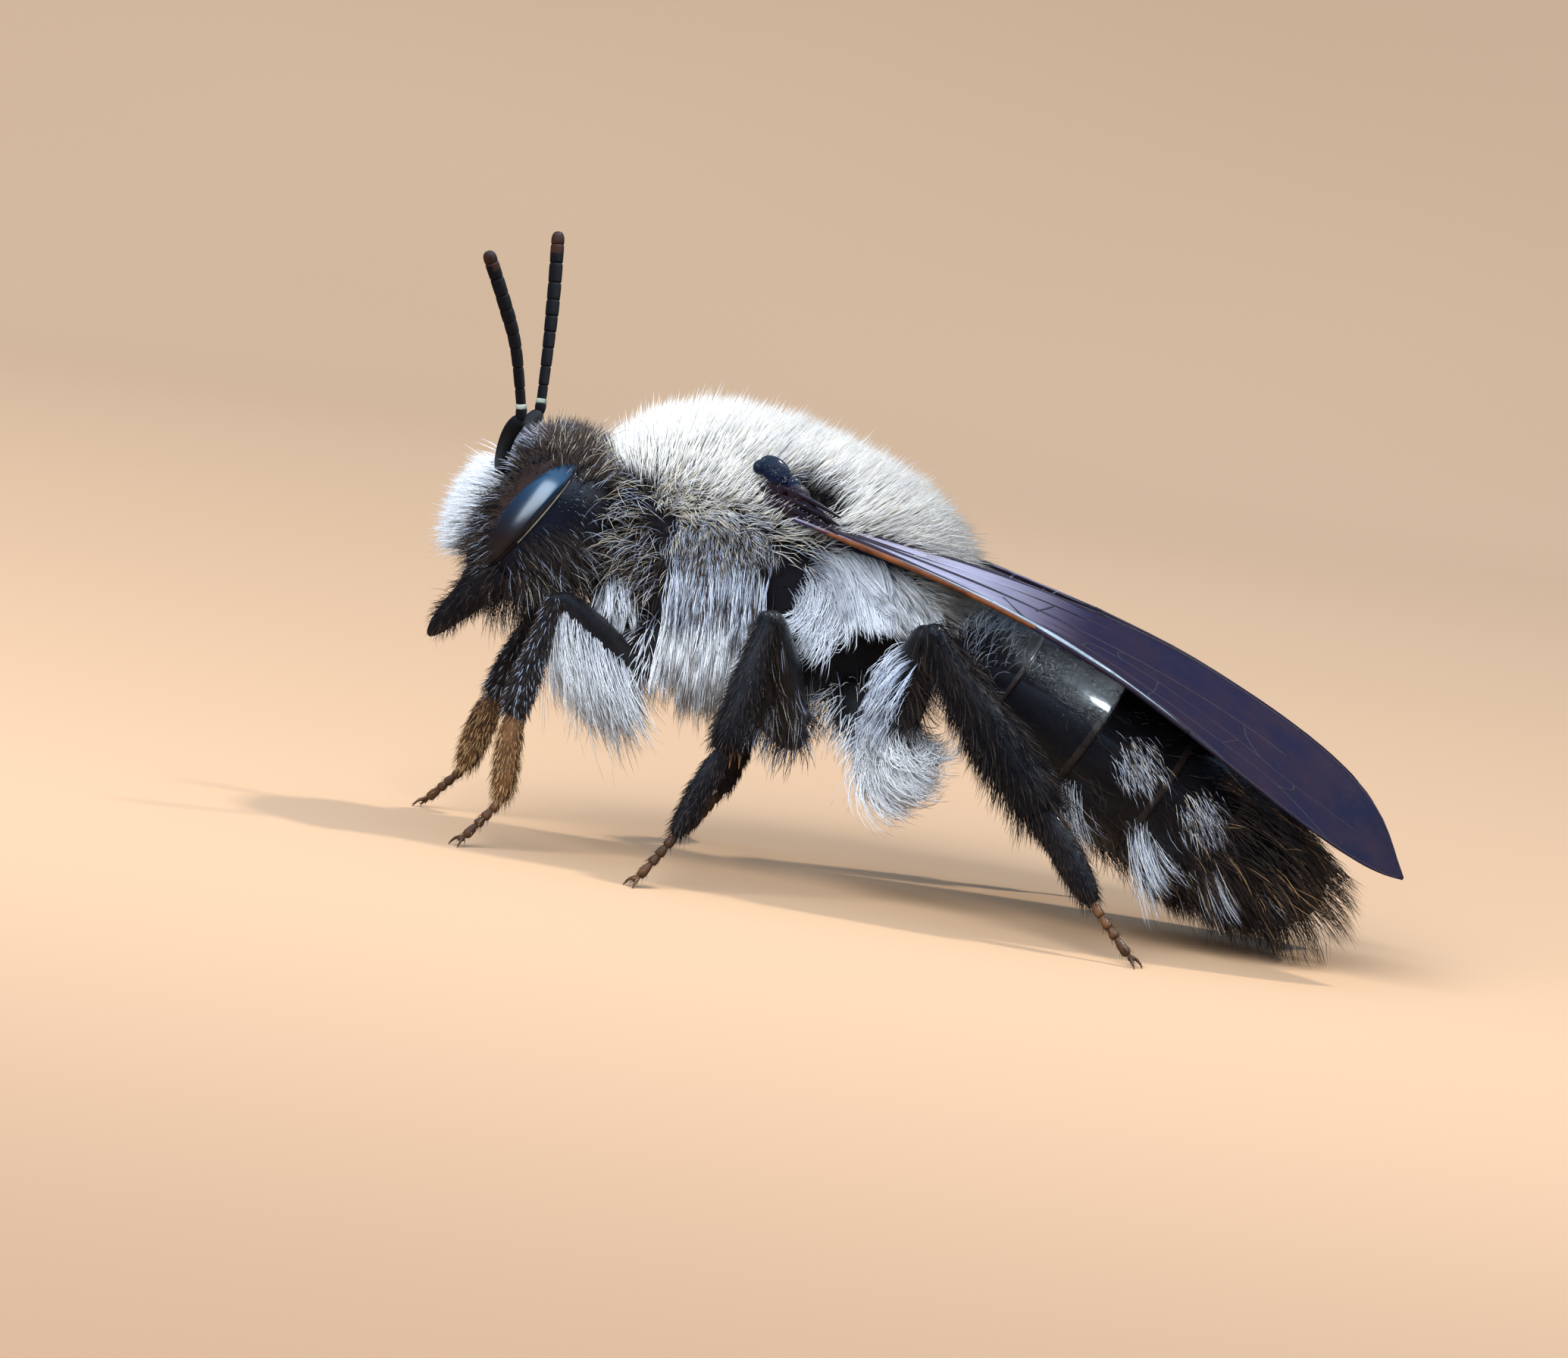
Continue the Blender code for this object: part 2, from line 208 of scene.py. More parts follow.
class SharedGroups:
    """The node groups that several finishes use, each built once."""

    def __init__(self) -> None:
        """Builds the groups."""
        self.mottle = self._mottle()
        self.punctures = self._punctures()

    def mask(self, graph: Graph, scale: float, contrast: float) -> NodeSocket:
        """The mottle's mask, placed in a material."""
        node = graph.add("ShaderNodeGroup", {"node_tree": self.mottle}, Scale=scale, Contrast=contrast)
        return node.outputs["Mask"]

    @staticmethod
    def _group(name: str, inputs: Iterable[str], output: str) -> tuple[Graph, Node, Node]:
        """An empty group with number sockets.

        Args:
            name: the group's name.
            inputs: names of its inputs.
            output: the name of its output.

        Returns:
            Its graph, its input node and its output node.
        """
        tree = bpy.data.node_groups.new(name, "ShaderNodeTree")
        for socket in inputs:
            tree.interface.new_socket(socket, in_out="INPUT", socket_type="NodeSocketFloat")
        tree.interface.new_socket(output, in_out="OUTPUT", socket_type="NodeSocketFloat")
        graph = Graph(tree)
        return graph, graph.add("NodeGroupInput"), graph.add("NodeGroupOutput")

    def _mottle(self) -> NodeTree:
        """Soft blotches: a mask from 0 to 1 out of two sizes of noise."""
        graph, given, result = self._group("mottle", ("Scale", "Contrast"), "Mask")
        place = graph.place_in_mm()
        coarse = graph.noise(place, given.outputs["Scale"], 4.0)
        fine = graph.noise(place, graph.math("MULTIPLY", given.outputs["Scale"], 6.3), 3.0)
        both = graph.math("ADD", graph.math("MULTIPLY_ADD", fine, 0.4, -0.7), coarse)
        mask = graph.math("ADD", graph.math("MULTIPLY", both, given.outputs["Contrast"]), 0.5)
        mask.node.use_clamp = True
        graph.feed(result, "Mask", mask)
        return graph.tree

    def _punctures(self) -> NodeTree:
        """The small round pits of the shell, with a fine leathery net between them, as a height."""
        graph, given, result = self._group("punctures", ("Pits per mm", "Pit depth", "Net depth"), "Height")
        place = graph.place_in_mm()
        cells = graph.add("ShaderNodeTexVoronoi", Vector=place, Scale=given.outputs["Pits per mm"])
        pit = graph.stretch(cells.outputs["Distance"], 0.12, 0.34, -1.0, 0.0)
        net = graph.net(place, graph.math("MULTIPLY", given.outputs["Pits per mm"], 4.5))
        deep = graph.math("MULTIPLY", pit, given.outputs["Pit depth"])
        shallow = graph.math("MULTIPLY", graph.stretch(net, 0.0, 0.25, -1.0, 0.0), given.outputs["Net depth"])
        graph.feed(result, "Height", graph.math("ADD", deep, shallow))
        return graph.tree


def blank_material(name: str) -> tuple[Material, Graph, Node]:
    """A new material with its graph and its Principled shader."""
    material = bpy.data.materials.new(name)
    material.use_nodes = True
    return material, Graph(material.node_tree), material.node_tree.nodes["Principled BSDF"]


@dataclass(frozen=True)
class Shell:
    """Polished or leathery insect shell."""

    name: str
    low: Colour
    high: Colour
    roughness: tuple[float, float] = (0.22, 0.4)
    blotches: float = 1.6  # per millimetre
    pits: float = 11.0  # per millimetre
    pit_depth: float = 0.012  # in millimetres
    net_depth: float = 0.0015
    coat: float = 0.25
    slot: Slot = Slot.CHITIN

    def material(self, groups: SharedGroups) -> Material:
        """The finish as a material.

        Args:
            groups: the shared node groups.

        Returns:
            The new material.
        """
        material, graph, shader = blank_material(self.name)
        mask = groups.mask(graph, self.blotches, 2.2)
        holes = graph.add("ShaderNodeGroup", {"node_tree": groups.punctures}, Pits_per_mm=self.pits,
                          Pit_depth=self.pit_depth, Net_depth=self.net_depth)
        graph.feed_all(shader, Base_Color=graph.mix(mask, self.low, self.high),
                       Roughness=graph.stretch(mask, 0.0, 1.0, *self.roughness),
                       Normal=graph.bump(holes.outputs["Height"], MM, 1.0),
                       Coat_Weight=self.coat, Coat_Roughness=0.12)
        return material


@dataclass(frozen=True)
class Facets:
    """The compound eye: a dark lens, covered in rows of tiny six-sided facets, with a painted sky reflection
    that turns it blue towards the top.
    """

    name: str = "eye_facets"
    low: Colour = (0.007, 0.004, 0.004)
    # high: painted sky reflection, the blue given to the upper part of the lens
    high: Colour = (0.002, 0.018, 0.042)
    dim: Colour = (0.002, 0.002, 0.003)
    per_mm: float = 34.0
    depth: float = 0.0022
    slot: Slot = Slot.EYE

    def material(self, groups: SharedGroups) -> Material:
        """The finish as a material.

        Args:
            groups: the shared node groups.

        Returns:
            The new material.
        """
        material, graph, shader = blank_material(self.name)
        place = graph.place_in_mm()
        height = graph.add("ShaderNodeSeparateXYZ", Vector=place).outputs["Z"]
        # painted sky reflection: the lens turns from low to high, dark to blue, towards the top
        tint = graph.mix(graph.stretch(height, 4.5, 5.6), self.low, self.high)
        mask = groups.mask(graph, 2.5, 1.5)
        dome = graph.stretch(graph.net(place, self.per_mm, Randomness=0.25), 0.0, 0.3)
        graph.feed_all(shader, Base_Color=graph.mix(graph.stretch(mask, 0.0, 1.0, 0.0, 0.35), tint, self.dim),
                       Normal=graph.bump(dome, self.depth * MM, 0.22), Roughness=0.26, Coat_Weight=1.0,
                       Coat_Roughness=0.26)
        return material


@dataclass(frozen=True)
class Membrane:
    """The smoky skin of a wing: pale lined cells near the root, pale partly in their own colour and partly as
    a painted sky reflection, dark and violet towards the tip.
    """

    name: str = "wing_membrane"
    # root: partly the cells' own pale colour, partly a painted sky reflection
    root: Colour = (0.66, 0.63, 0.74)
    line: Colour = (0.17, 0.145, 0.26)  # between the pale streaks of the root
    middle: Colour = (0.015, 0.014, 0.033)
    tip: Colour = (0.011, 0.0125, 0.028)
    stain: Colour = (0.036, 0.020, 0.026)
    slot: Slot = Slot.WING

    def material(self, groups: SharedGroups) -> Material:
        """The finish as a material. Its UV map runs from the root to the tip, and from the front edge back.

        Args:
            groups: the shared node groups.

        Returns:
            The new material.
        """
        material, graph, shader = blank_material(self.name)
        spread = graph.add("ShaderNodeUVMap", {"uv_map": "wing"}).outputs["UV"]
        split = graph.add("ShaderNodeSeparateXYZ", Vector=spread)
        along, back = split.outputs["X"], split.outputs["Y"]
        lined = graph.add("ShaderNodeMapping", Vector=spread, Scale=(14.0, 260.0, 1.0))
        lines = graph.noise(lined.outputs["Vector"], 1.0, 3.0)
        streaky = graph.math("ADD", along, graph.math("MULTIPLY", lines, 0.3))
        near = graph.stretch(streaky, 0.3, 0.5, 1.0, 0.0)
        inner = graph.math("MULTIPLY", near, graph.stretch(back, 0.13, 0.2))
        # partly painted sky reflection: pale streaks with darker lines between, near the root
        pale_cells_with_sky_sheen = graph.mix(graph.stretch(lines, 0.35, 0.6), self.line, self.root)
        outer = graph.mix(graph.stretch(along, 0.55, 0.98), self.middle, self.tip)
        mask = groups.mask(graph, 1.1, 2.0)
        stained = graph.mix(graph.stretch(mask, 0.0, 1.0, 0.0, 0.6), outer, self.stain)
        swells = graph.noise(graph.place_in_mm(), 1.7, 2.0)
        height = graph.math("ADD", graph.math("MULTIPLY", lines, 0.2), swells)
        graph.feed_all(shader, Base_Color=graph.mix(inner, stained, pale_cells_with_sky_sheen),
                       Alpha=graph.stretch(inner, 0.0, 1.0, 0.97, 0.6),
                       Normal=graph.bump(height, 0.05 * MM, 0.6),
                       Roughness=0.5, IOR=1.1, Specular_IOR_Level=0.2, Coat_Weight=0.01)
        return material


@dataclass(frozen=True)
class Fur:
    """The hairs of one colour, from a darker foot to a paler tip; the darker foot is painted shade deep in
    the coat.
    """

    name: str
    foot: Colour
    tip: Colour
    slot: Slot
    roughness: float = 0.55
    gloss: float = 0.35

    def material(self, groups: SharedGroups) -> Material:
        """The finish as a material. The mesh attribute shade runs from 0 at the foot to 1 at the tip, and
        darkens the foot as painted shade.

        Args:
            groups: the shared node groups.

        Returns:
            The new material.
        """
        material, graph, shader = blank_material(self.name)
        shade = graph.add("ShaderNodeAttribute", {"attribute_name": "shade"}).outputs["Fac"]
        # painted shade: each hair is darker at its foot, where the coat is shaded among the hairs
        colour = graph.mix(shade, self.foot, self.tip)
        dull = tuple(0.62 * value for value in self.tip)
        veil = graph.stretch(groups.mask(graph, 0.9, 1.6), 0.0, 1.0, 0.3, 0.0)
        graph.feed_all(shader, Base_Color=graph.mix(veil, colour, dull), Roughness=self.roughness,
                       Specular_IOR_Level=self.gloss)
        return material


Finish = Shell | Facets | Membrane | Fur


HEAD_SHELL = Shell("head_shell", (0.002, 0.0027, 0.006), (0.005, 0.007, 0.013), (0.3, 0.45), pits=16.0,
                   coat=0.1)
CLYPEUS_SHELL = Shell("clypeus_shell", (0.003, 0.003, 0.004), (0.009, 0.007, 0.007), (0.3, 0.45), pits=9.0,
                      coat=0.1)
THORAX_SHELL = Shell("thorax_shell", (0.003, 0.003, 0.004), (0.007, 0.006, 0.007), (0.55, 0.7), pits=10.0,
                     coat=0.0)
RING_SHELL = Shell("ring_shell", (0.002, 0.002, 0.003), (0.005, 0.0045, 0.005), (0.18, 0.28), pits=13.0,
                   pit_depth=0.004, coat=0.35)
RING_MARGIN = Shell("ring_margin", (0.008, 0.006, 0.006), (0.022, 0.014, 0.011), (0.25, 0.4), pits=20.0,
                    pit_depth=0.002)
LIMB_SHELL = Shell("limb_shell", (0.0035, 0.0035, 0.0045), (0.011, 0.009, 0.009), (0.24, 0.38), pits=18.0,
                   pit_depth=0.004)
TARSUS_SHELL = Shell("tarsus_shell", (0.030, 0.014, 0.006), (0.13, 0.055, 0.02), (0.3, 0.45), pits=18.0,
                     pit_depth=0.004)
SPUR_SHELL = Shell("spur_shell", (0.16, 0.055, 0.015), (0.42, 0.18, 0.06), (0.3, 0.4), pits=30.0,
                   pit_depth=0.001)
ANTENNA_SHELL = Shell("antenna_shell", (0.002, 0.002, 0.003), (0.005, 0.004, 0.004), (0.5, 0.6), pits=26.0,
                      pit_depth=0.002, coat=0.0)
ANTENNA_TIP = Shell("antenna_tip", (0.016, 0.006, 0.003), (0.05, 0.018, 0.009), (0.42, 0.55), pits=26.0,
                    pit_depth=0.004)
JOINT_RING = Shell("joint_ring", (0.22, 0.24, 0.18), (0.42, 0.45, 0.36), (0.35, 0.5), pits=30.0,
                   pit_depth=0.001)
ORBIT_SHELL = Shell("orbit_shell", (0.010, 0.005, 0.004), (0.032, 0.015, 0.010), (0.4, 0.52), pits=30.0,
                    pit_depth=0.002, coat=0.0)
# painted highlight: the pale line along the rear edge of each eye
EDGE_GLINT_SHELL = Shell("orbit_seam", (0.10, 0.085, 0.06), (0.28, 0.25, 0.20), (0.3, 0.4), pits=30.0,
                   pit_depth=0.001)
OCELLUS_SHELL = Shell("ocellus_shell", (0.05, 0.018, 0.006), (0.14, 0.06, 0.02), (0.06, 0.1), pits=1.0,
                      pit_depth=0.0, net_depth=0.0, coat=1.0)
SCALE_SHELL = Shell("scale_shell", (0.0006, 0.001, 0.004), (0.0015, 0.004, 0.017), (0.2, 0.3), pits=7.0,
                    pit_depth=0.016, net_depth=0.006, coat=0.3)
HINGE_SHELL = Shell("hinge_shell", (0.003, 0.002, 0.004), (0.014, 0.006, 0.010), (0.3, 0.45), pits=12.0,
                    pit_depth=0.014)
COSTA_SHELL = Shell("costa_shell", (0.05, 0.012, 0.004), (0.19, 0.055, 0.013), (0.34, 0.46), pits=20.0,
                    pit_depth=0.004, coat=0.0, slot=Slot.WING)
# painted highlight: the pale glossy streak just behind the front edge of the wing
PAINTED_GLINT_SHELL = Shell("streak_shell", (0.15, 0.19, 0.22), (0.36, 0.43, 0.46), (0.3, 0.42), pits=24.0,
                     pit_depth=0.003, slot=Slot.WING)
VEIN_SHELL = Shell("vein_shell", (0.006, 0.004, 0.009), (0.02, 0.011, 0.02), (0.5, 0.65), pits=20.0, coat=0.0,
                   pit_depth=0.004, slot=Slot.WING)
EYE_FACETS = Facets()
WING_MEMBRANE = Membrane()

POLISHED = (RING_SHELL, EYE_FACETS)  # what the small soft lights fall on

SNOW = Fur("snow_fur", (0.42, 0.42, 0.435), (0.93, 0.92, 0.91), Slot.PALE)
CHALK = Fur("chalk_fur", (0.27, 0.262, 0.258), (0.76, 0.735, 0.69), Slot.PALE)
FROST = Fur("frost_fur", (0.07, 0.08, 0.11), (0.84, 0.87, 0.92), Slot.PALE, gloss=0.5)
CREAM = Fur("cream_fur", (0.30, 0.24, 0.165), (0.80, 0.71, 0.56), Slot.PALE)
ASH = Fur("ash_fur", (0.06, 0.065, 0.085), (0.55, 0.61, 0.74), Slot.PALE)
UMBER = Fur("umber_fur", (0.012, 0.009, 0.008), (0.075, 0.054, 0.043), Slot.DARK, gloss=0.2)
JET = Fur("jet_fur", (0.004, 0.0035, 0.004), (0.013, 0.011, 0.012), Slot.DARK, gloss=0.15)
# on the tail, painted light: brown hairs lit at their tips; on the front feet, the hairs' own colour
GOLD = Fur("gold_fur", (0.12, 0.05, 0.016), (0.62, 0.37, 0.17), Slot.DARK)


class Palette:
    """Makes each finish into a material once."""

    def __init__(self) -> None:
        """Starts with the shared groups and no material."""
        self.groups = SharedGroups()
        self.made: dict[str, Material] = {}

    def material(self, finish: Finish) -> Material:
        """The material of a finish, made the first time it is asked for."""
        if finish.name not in self.made:
            self.made[finish.name] = finish.material(self.groups)
        return self.made[finish.name]


# ---- shaping


@dataclass(frozen=True)
class Arch:
    """How far a form stands out on one side of its axis: nothing at both ends, and height at peak."""

    height: float
    peak: float = 0.5
    fullness: float = 2.4  # 2 is elliptical, and more is blunter

    def at(self, share: float) -> float:
        """The distance from the axis at this share of the length."""
        reach = self.peak if share < self.peak else 1.0 - self.peak
        away = min(abs(share - self.peak) / reach, 1.0)
        return self.height * (1.0 - away**self.fullness) ** 0.5


@dataclass(frozen=True)
class Axis:
    """A straight axis with an upper side."""

    start: Vector
    end: Vector
    upper: Vector

    @property
    def length(self) -> float:
        """From start to end."""
        return (self.end - self.start).length

    @property
    def along(self) -> Vector:
        """The unit vector from start to end."""
        return (self.end - self.start).normalized()

    @property
    def up(self) -> Vector:
        """The unit vector to the upper side, square to the axis."""
        along = self.along
        return (self.upper - self.upper.dot(along) * along).normalized()

    @property
    def across(self) -> Vector:
        """The unit vector square to the axis and to its upper side."""
        return self.up.cross(self.along)

    def point(self, share: float, x: float = 0.0, y: float = 0.0) -> Vector:
        """The point at a share of the length, x sideways and y upwards from the axis."""
        return self.start.lerp(self.end, share) + x * self.across + y * self.up

    def unwrap(self, points: Array) -> Array:
        """Where points lie on the unrolled form.

        Args:
            points: rows of X, Y, Z.

        Returns:
            Rows of the turn about the axis and the share along it, both from 0 to 1.
        """
        away = points - np.array(self.start)
        turn = np.arctan2(away @ np.array(self.up), away @ np.array(self.across)) / TURN
        share = away @ np.array(self.along) / self.length
        return np.stack([np.mod(turn, 1.0), np.clip(share, 0.0, 1.0)], axis=1)


def plane_axis(start: tuple[float, float], end: tuple[float, float], upper: tuple[float, float]) -> Axis:
    """An axis in the bee's middle plane, from pairs of X and Z."""
    (x0, z0), (x1, z1), (ux, uz) = start, end, upper
    return Axis(Vector((x0, 0, z0)), Vector((x1, 0, z1)), Vector((ux, 0, uz)))


@dataclass(frozen=True)
class Form:
    """A rounded body about an axis."""

    axis: Axis
    up: Arch
    down: Arch
    side: Arch
    squareness: float = 2.0  # the power of the section's superellipse: 2 is an ellipse

    def point(self, share: float, turn: float, swell: float = 0.0) -> Vector:
        """A point of the skin.

        Args:
            share: of the length.
            turn: in radians, from the right side up.
            swell: how far it lies outside the form.

        Returns:
            The point.
        """
        c, s = math.cos(turn), math.sin(turn)
        power = 2.0 / self.squareness
        x = math.copysign(abs(c) ** power, c) * (self.side.at(share) + swell)
        y = math.copysign(abs(s) ** power, s) * ((self.up if s > 0 else self.down).at(share) + swell)
        return self.axis.point(share, x, y)

    def ring(self, share: float, sides: int, swell: float = 0.0) -> list[Vector]:
        """The section at this share of the length."""
        return [self.point(share, TURN * (k + 0.5) / sides, swell) for k in range(sides)]

    def loft(self, rings: int, sides: int, start: float = 0.0, stop: float = 1.0) -> BMesh:
        """The whole form between two shares, with rings that lie closer together near the ends.

        Args:
            rings: how many sections it has.
            sides: how many points each section has.
            start: the share where it begins.
            stop: the share where it ends.

        Returns:
            The mesh.
        """
        eased = [0.5 - 0.5 * math.cos(math.pi * (k + 0.5) / rings) for k in range(rings)]
        loops = [self.ring(start + (stop - start) * ease, sides) for ease in eased]
        return loft(loops, self.axis.point(start), self.axis.point(stop))


def add_ring(bm: BMesh, points: Sequence[Vector]) -> tuple[list, list]:
    """A circle drawn out to the given points.

    Args:
        bm: the mesh that it is added to.
        points: its points in order.

    Returns:
        Its vertices in order, and its edges.
    """
    verts = bmesh.ops.create_circle(bm, segments=len(points), radius=1.0)["verts"]
    for vert, point in zip(verts, points):
        vert.co = point
    edges = list({edge for vert in verts for edge in vert.link_edges})
    return verts, edges


def loft(rings: Sequence[Sequence[Vector]], front: Vector | None, rear: Vector | None) -> BMesh:
    """A closed skin over rings of points.

    Args:
        rings: the sections in order, each with the same number of points.
        front: the tip of the first end, or None for a flat end.
        rear: the tip of the last end, or None for a flat end.

    Returns:
        The mesh.
    """
    bm = bmesh.new()
    extend(bm, rings, front, rear)
    return bm


def extend(bm: BMesh, rings: Sequence[Sequence[Vector]], front: Vector | None, rear: Vector | None) -> None:
    """Adds a closed skin over rings of points to a mesh, as loft does.

    Args:
        bm: the mesh that it is added to.
        rings: the sections in order.
        front: the tip of the first end, or None for a flat end.
        rear: the tip of the last end, or None for a flat end.
    """
    loops = [add_ring(bm, ring) for ring in rings]
    for (_, first), (_, second) in zip(loops, loops[1:]):
        bmesh.ops.bridge_loops(bm, edges=first + second)
    for (verts, _), tip in ((loops[0], front), (loops[-1], rear)):
        cap = bm.faces.new(verts)
        if tip is not None:
            bmesh.ops.poke(bm, faces=[cap])["verts"][0].co = tip


def curve_through(points: Sequence[Vector], share: float) -> Vector:
    """The point at a share of a smooth curve through the given points.

    Args:
        points: what the curve passes through, in order.
        share: how far along it the point lies.

    Returns:
        The point.
    """
    spans = len(points) - 1
    place = min(max(share, 0.0), 1.0) * spans
    k = min(int(place), spans - 1)
    t = place - k
    p0, p1, p2, p3 = (points[min(max(k + step, 0), spans)] for step in (-1, 0, 1, 2))
    return 0.5 * (2 * p1 + (p2 - p0) * t + (2 * p0 - 5 * p1 + 4 * p2 - p3) * t**2
                  + (3 * p1 - p0 - 3 * p2 + p3) * t**3)


@dataclass(frozen=True)
class Limb:
    """A bent tapering body: a smooth curve with a width and a depth at each station."""

    path: tuple[Vector, ...]
    stations: Stations
    upper: Vector = Vector((0.02, 0.01, 1.0))
    tip: float = 0.5  # how far each end is drawn out, in shares of its half depth
    sides: int = 12

    @property
    def axis(self) -> Axis:
        """The straight line between the ends."""
        return Axis(self.path[0], self.path[-1], self.upper)

    def ahead(self, share: float) -> Vector:
        """The unit vector along the curve at a share of it."""
        return (curve_through(self.path, share + 0.03) - curve_through(self.path, share - 0.03)).normalized()

    def ring(self, share: float, width: float, depth: float) -> list[Vector]:
        """A section of the limb.

        Args:
            share: where it lies on the curve.
            width: its half width.
            depth: its half depth.

        Returns:
            Its points.
        """
        middle = curve_through(self.path, share)
        local = Axis(middle, middle + self.ahead(share), self.upper)
        turns = [TURN * k / self.sides for k in range(self.sides)]
        return [local.point(0.0, width * math.cos(turn), depth * math.sin(turn)) for turn in turns]

    def rings(self) -> tuple[list[list[Vector]], Vector, Vector]:
        """The sections and the two tips."""
        loops = [self.ring(*station) for station in self.stations]
        ends = []
        for station, share, sign in ((self.stations[0], 0.0, -1.0), (self.stations[-1], 1.0, 1.0)):
            reach = sign * self.tip * station[2]
            ends.append(curve_through(self.path, station[0]) + reach * self.ahead(share))
        return loops, ends[0], ends[1]

    def add_to(self, bm: BMesh) -> None:
        """Adds the limb to a mesh."""
        loops, front, rear = self.rings()
        extend(bm, loops, front, rear)

    def loft(self) -> BMesh:
        """The limb as a mesh of its own."""
        bm = bmesh.new()
        self.add_to(bm)
        return bm


def mirrored(points: Iterable[Point], sign: float) -> tuple[Vector, ...]:
    """Points of one side of the bee, whose Y counts outwards from its middle plane."""
    return tuple(Vector((x, sign * y, z)) for x, y, z in points)


def round_stations(*pairs: tuple[float, float]) -> Stations:
    """Stations of a round limb, from pairs of a share and a radius."""
    return tuple((share, radius, radius) for share, radius in pairs)


def add_ball(bm: BMesh, middle: Vector, radii: Point, turn: Matrix | None = None, segments: int = 20) -> None:
    """Adds an ellipsoid.

    Args:
        bm: the mesh that it is added to.
        middle: its middle.
        radii: its half sizes along its own axes.
        turn: how its own axes are turned.
        segments: how many sides it has around.
    """
    matrix = Matrix.Translation(middle) @ (turn or Matrix()).to_4x4() @ Matrix.Diagonal((*radii, 1.0))
    rows = segments // 2 + 1
    bmesh.ops.create_uvsphere(bm, u_segments=segments, v_segments=rows, radius=1.0, matrix=matrix)


def turn_of(axis: Axis) -> Matrix:
    """The rotation that takes X across, Y up and Z along an axis."""
    return Matrix((axis.across, axis.up, axis.along)).transposed()


# ---- bench


class Bench:
    """Places finished meshes in the frame as pieces that ride on the bee's one body."""

    def __init__(self) -> None:
        """Reads from the frame how far the bee's own plane lies from the frame's origin."""
        low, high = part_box("eye_left")
        self.offset = 0.5 * (Vector(low) + Vector(high)) / MM - EYE_SOLID_MIDDLE
        self.offset.z = 0.0
        self.palette = Palette()
        self.polished: list[Object] = []  # the pieces that the soft lights shine on
        log.info("the bee's plane lies %.4f, %.4f mm from the frame's", *self.offset.xy)

    def finish(self, name: str, mesh: Mesh, finishes: Sequence[Finish], nodes: Iterable[str] = ()) -> Object:
        """Makes a mesh, already in the frame, into a piece.

        Args:
            name: the piece's name.
            mesh: its mesh, in metres.
            finishes: its finishes, the first of which decides whether the soft lights fall on it.
            nodes: the solids that it stands for.

        Returns:
            The piece.
        """
        for finish in finishes:
            mesh.materials.append(self.palette.material(finish))
        piece = bpy.data.objects.new(name, mesh)
        bpy.context.scene.collection.objects.link(piece)
        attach(piece, "root")
        if nodes:
            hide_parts(*nodes)
        if finishes[0] in POLISHED:
            self.polished.append(piece)
        log.info("%s: %d faces", name, len(mesh.polygons))
        return piece

    def piece(
        self,
        name: str,
        bm: BMesh,
        finishes: Sequence[Finish],
        nodes: Iterable[str] = (),
        levels: int = 0,
        closed: bool = True,
    ) -> Object:
        """Makes a piece out of a mesh in the bee's own millimetres.

        Args:
            name: the piece's name.
            bm: its mesh, which is freed.
            finishes: its finishes, in the order of its material indices.
            nodes: the solids that it stands for.
            levels: how often its faces are subdivided and smoothed.
            closed: whether its normals are turned outwards.

        Returns:
            The piece.
        """
        if closed:
            bmesh.ops.recalc_face_normals(bm, faces=bm.faces)
        bm.transform(Matrix.Scale(MM, 4) @ Matrix.Translation(self.offset))
        mesh = bpy.data.meshes.new(name)
        bm.to_mesh(mesh)
        bm.free()
        mesh.shade_smooth()
        piece = self.finish(name, mesh, finishes, nodes)
        if levels:
            smooth = piece.modifiers.new("smooth", "SUBSURF")
            smooth.levels = smooth.render_levels = levels
        return piece

    def solidify(self, piece: Object, thickness: float) -> None:
        """Gives a thin open sheet its thickness, in millimetres."""
        wall = piece.modifiers.new("thickness", "SOLIDIFY")
        wall.thickness = thickness * MM
        wall.offset = 0.0

    def surface(self, piece: Object) -> tuple[Array, Array]:
        """The piece's finished triangles and their points' normals, in the bee's own millimetres.

        Args:
            piece: a finished piece.

        Returns:
            Corners and corner normals, each as triangles by corners by axes.
        """
        bpy.context.view_layer.update()
        evaluated = piece.evaluated_get(bpy.context.evaluated_depsgraph_get())
        mesh = evaluated.to_mesh()
        mesh.calc_loop_triangles()
        points = np.empty(len(mesh.vertices) * 3)
        mesh.vertices.foreach_get("co", points)
        normals = np.empty(len(mesh.vertices) * 3)
        mesh.vertices.foreach_get("normal", normals)
        corners = np.empty(len(mesh.loop_triangles) * 3, dtype=np.int32)
        mesh.loop_triangles.foreach_get("vertices", corners)
        evaluated.to_mesh_clear()
        corners = corners.reshape(-1, 3)
        points = points.reshape(-1, 3) / MM - np.array(self.offset)
        return points[corners], normals.reshape(-1, 3)[corners]


# ---- coat


def unit(vectors: Array) -> Array:
    """Rows brought to length 1."""
    return vectors / np.maximum(np.linalg.norm(vectors, axis=-1, keepdims=True), 1e-9)


def outward_signs(points: Array) -> Array:
    """Rows that turn Y outwards on the side where each point lies, and leave X and Z."""
    outward = np.where(points[:, 1:2] < 0, -1.0, 1.0)
    return np.concatenate([np.ones_like(outward), outward, np.ones_like(outward)], axis=1)


def smooth_step(values: Array, low: float, high: float) -> Array:
    """0 below low, 1 above high, and smooth between. It runs the other way where low is above high."""
    t = np.clip((values - low) / (high - low), 0.0, 1.0)
    return t * t * (3.0 - 2.0 * t)


@dataclass(frozen=True)
class Region:
    """A soft-edged egg in space. Its Y counts from the middle plane on both sides."""

    middle: Point
    reach: Point
    edge: float = 0.35  # the share of the reach over which it fades

    def weight(self, points: Array) -> Array:
        """1 well inside the egg, 0 outside it."""
        away = np.linalg.norm((points - np.array(self.middle)) / np.array(self.reach), axis=1)
        return smooth_step(away, 1.0, 1.0 - self.edge)


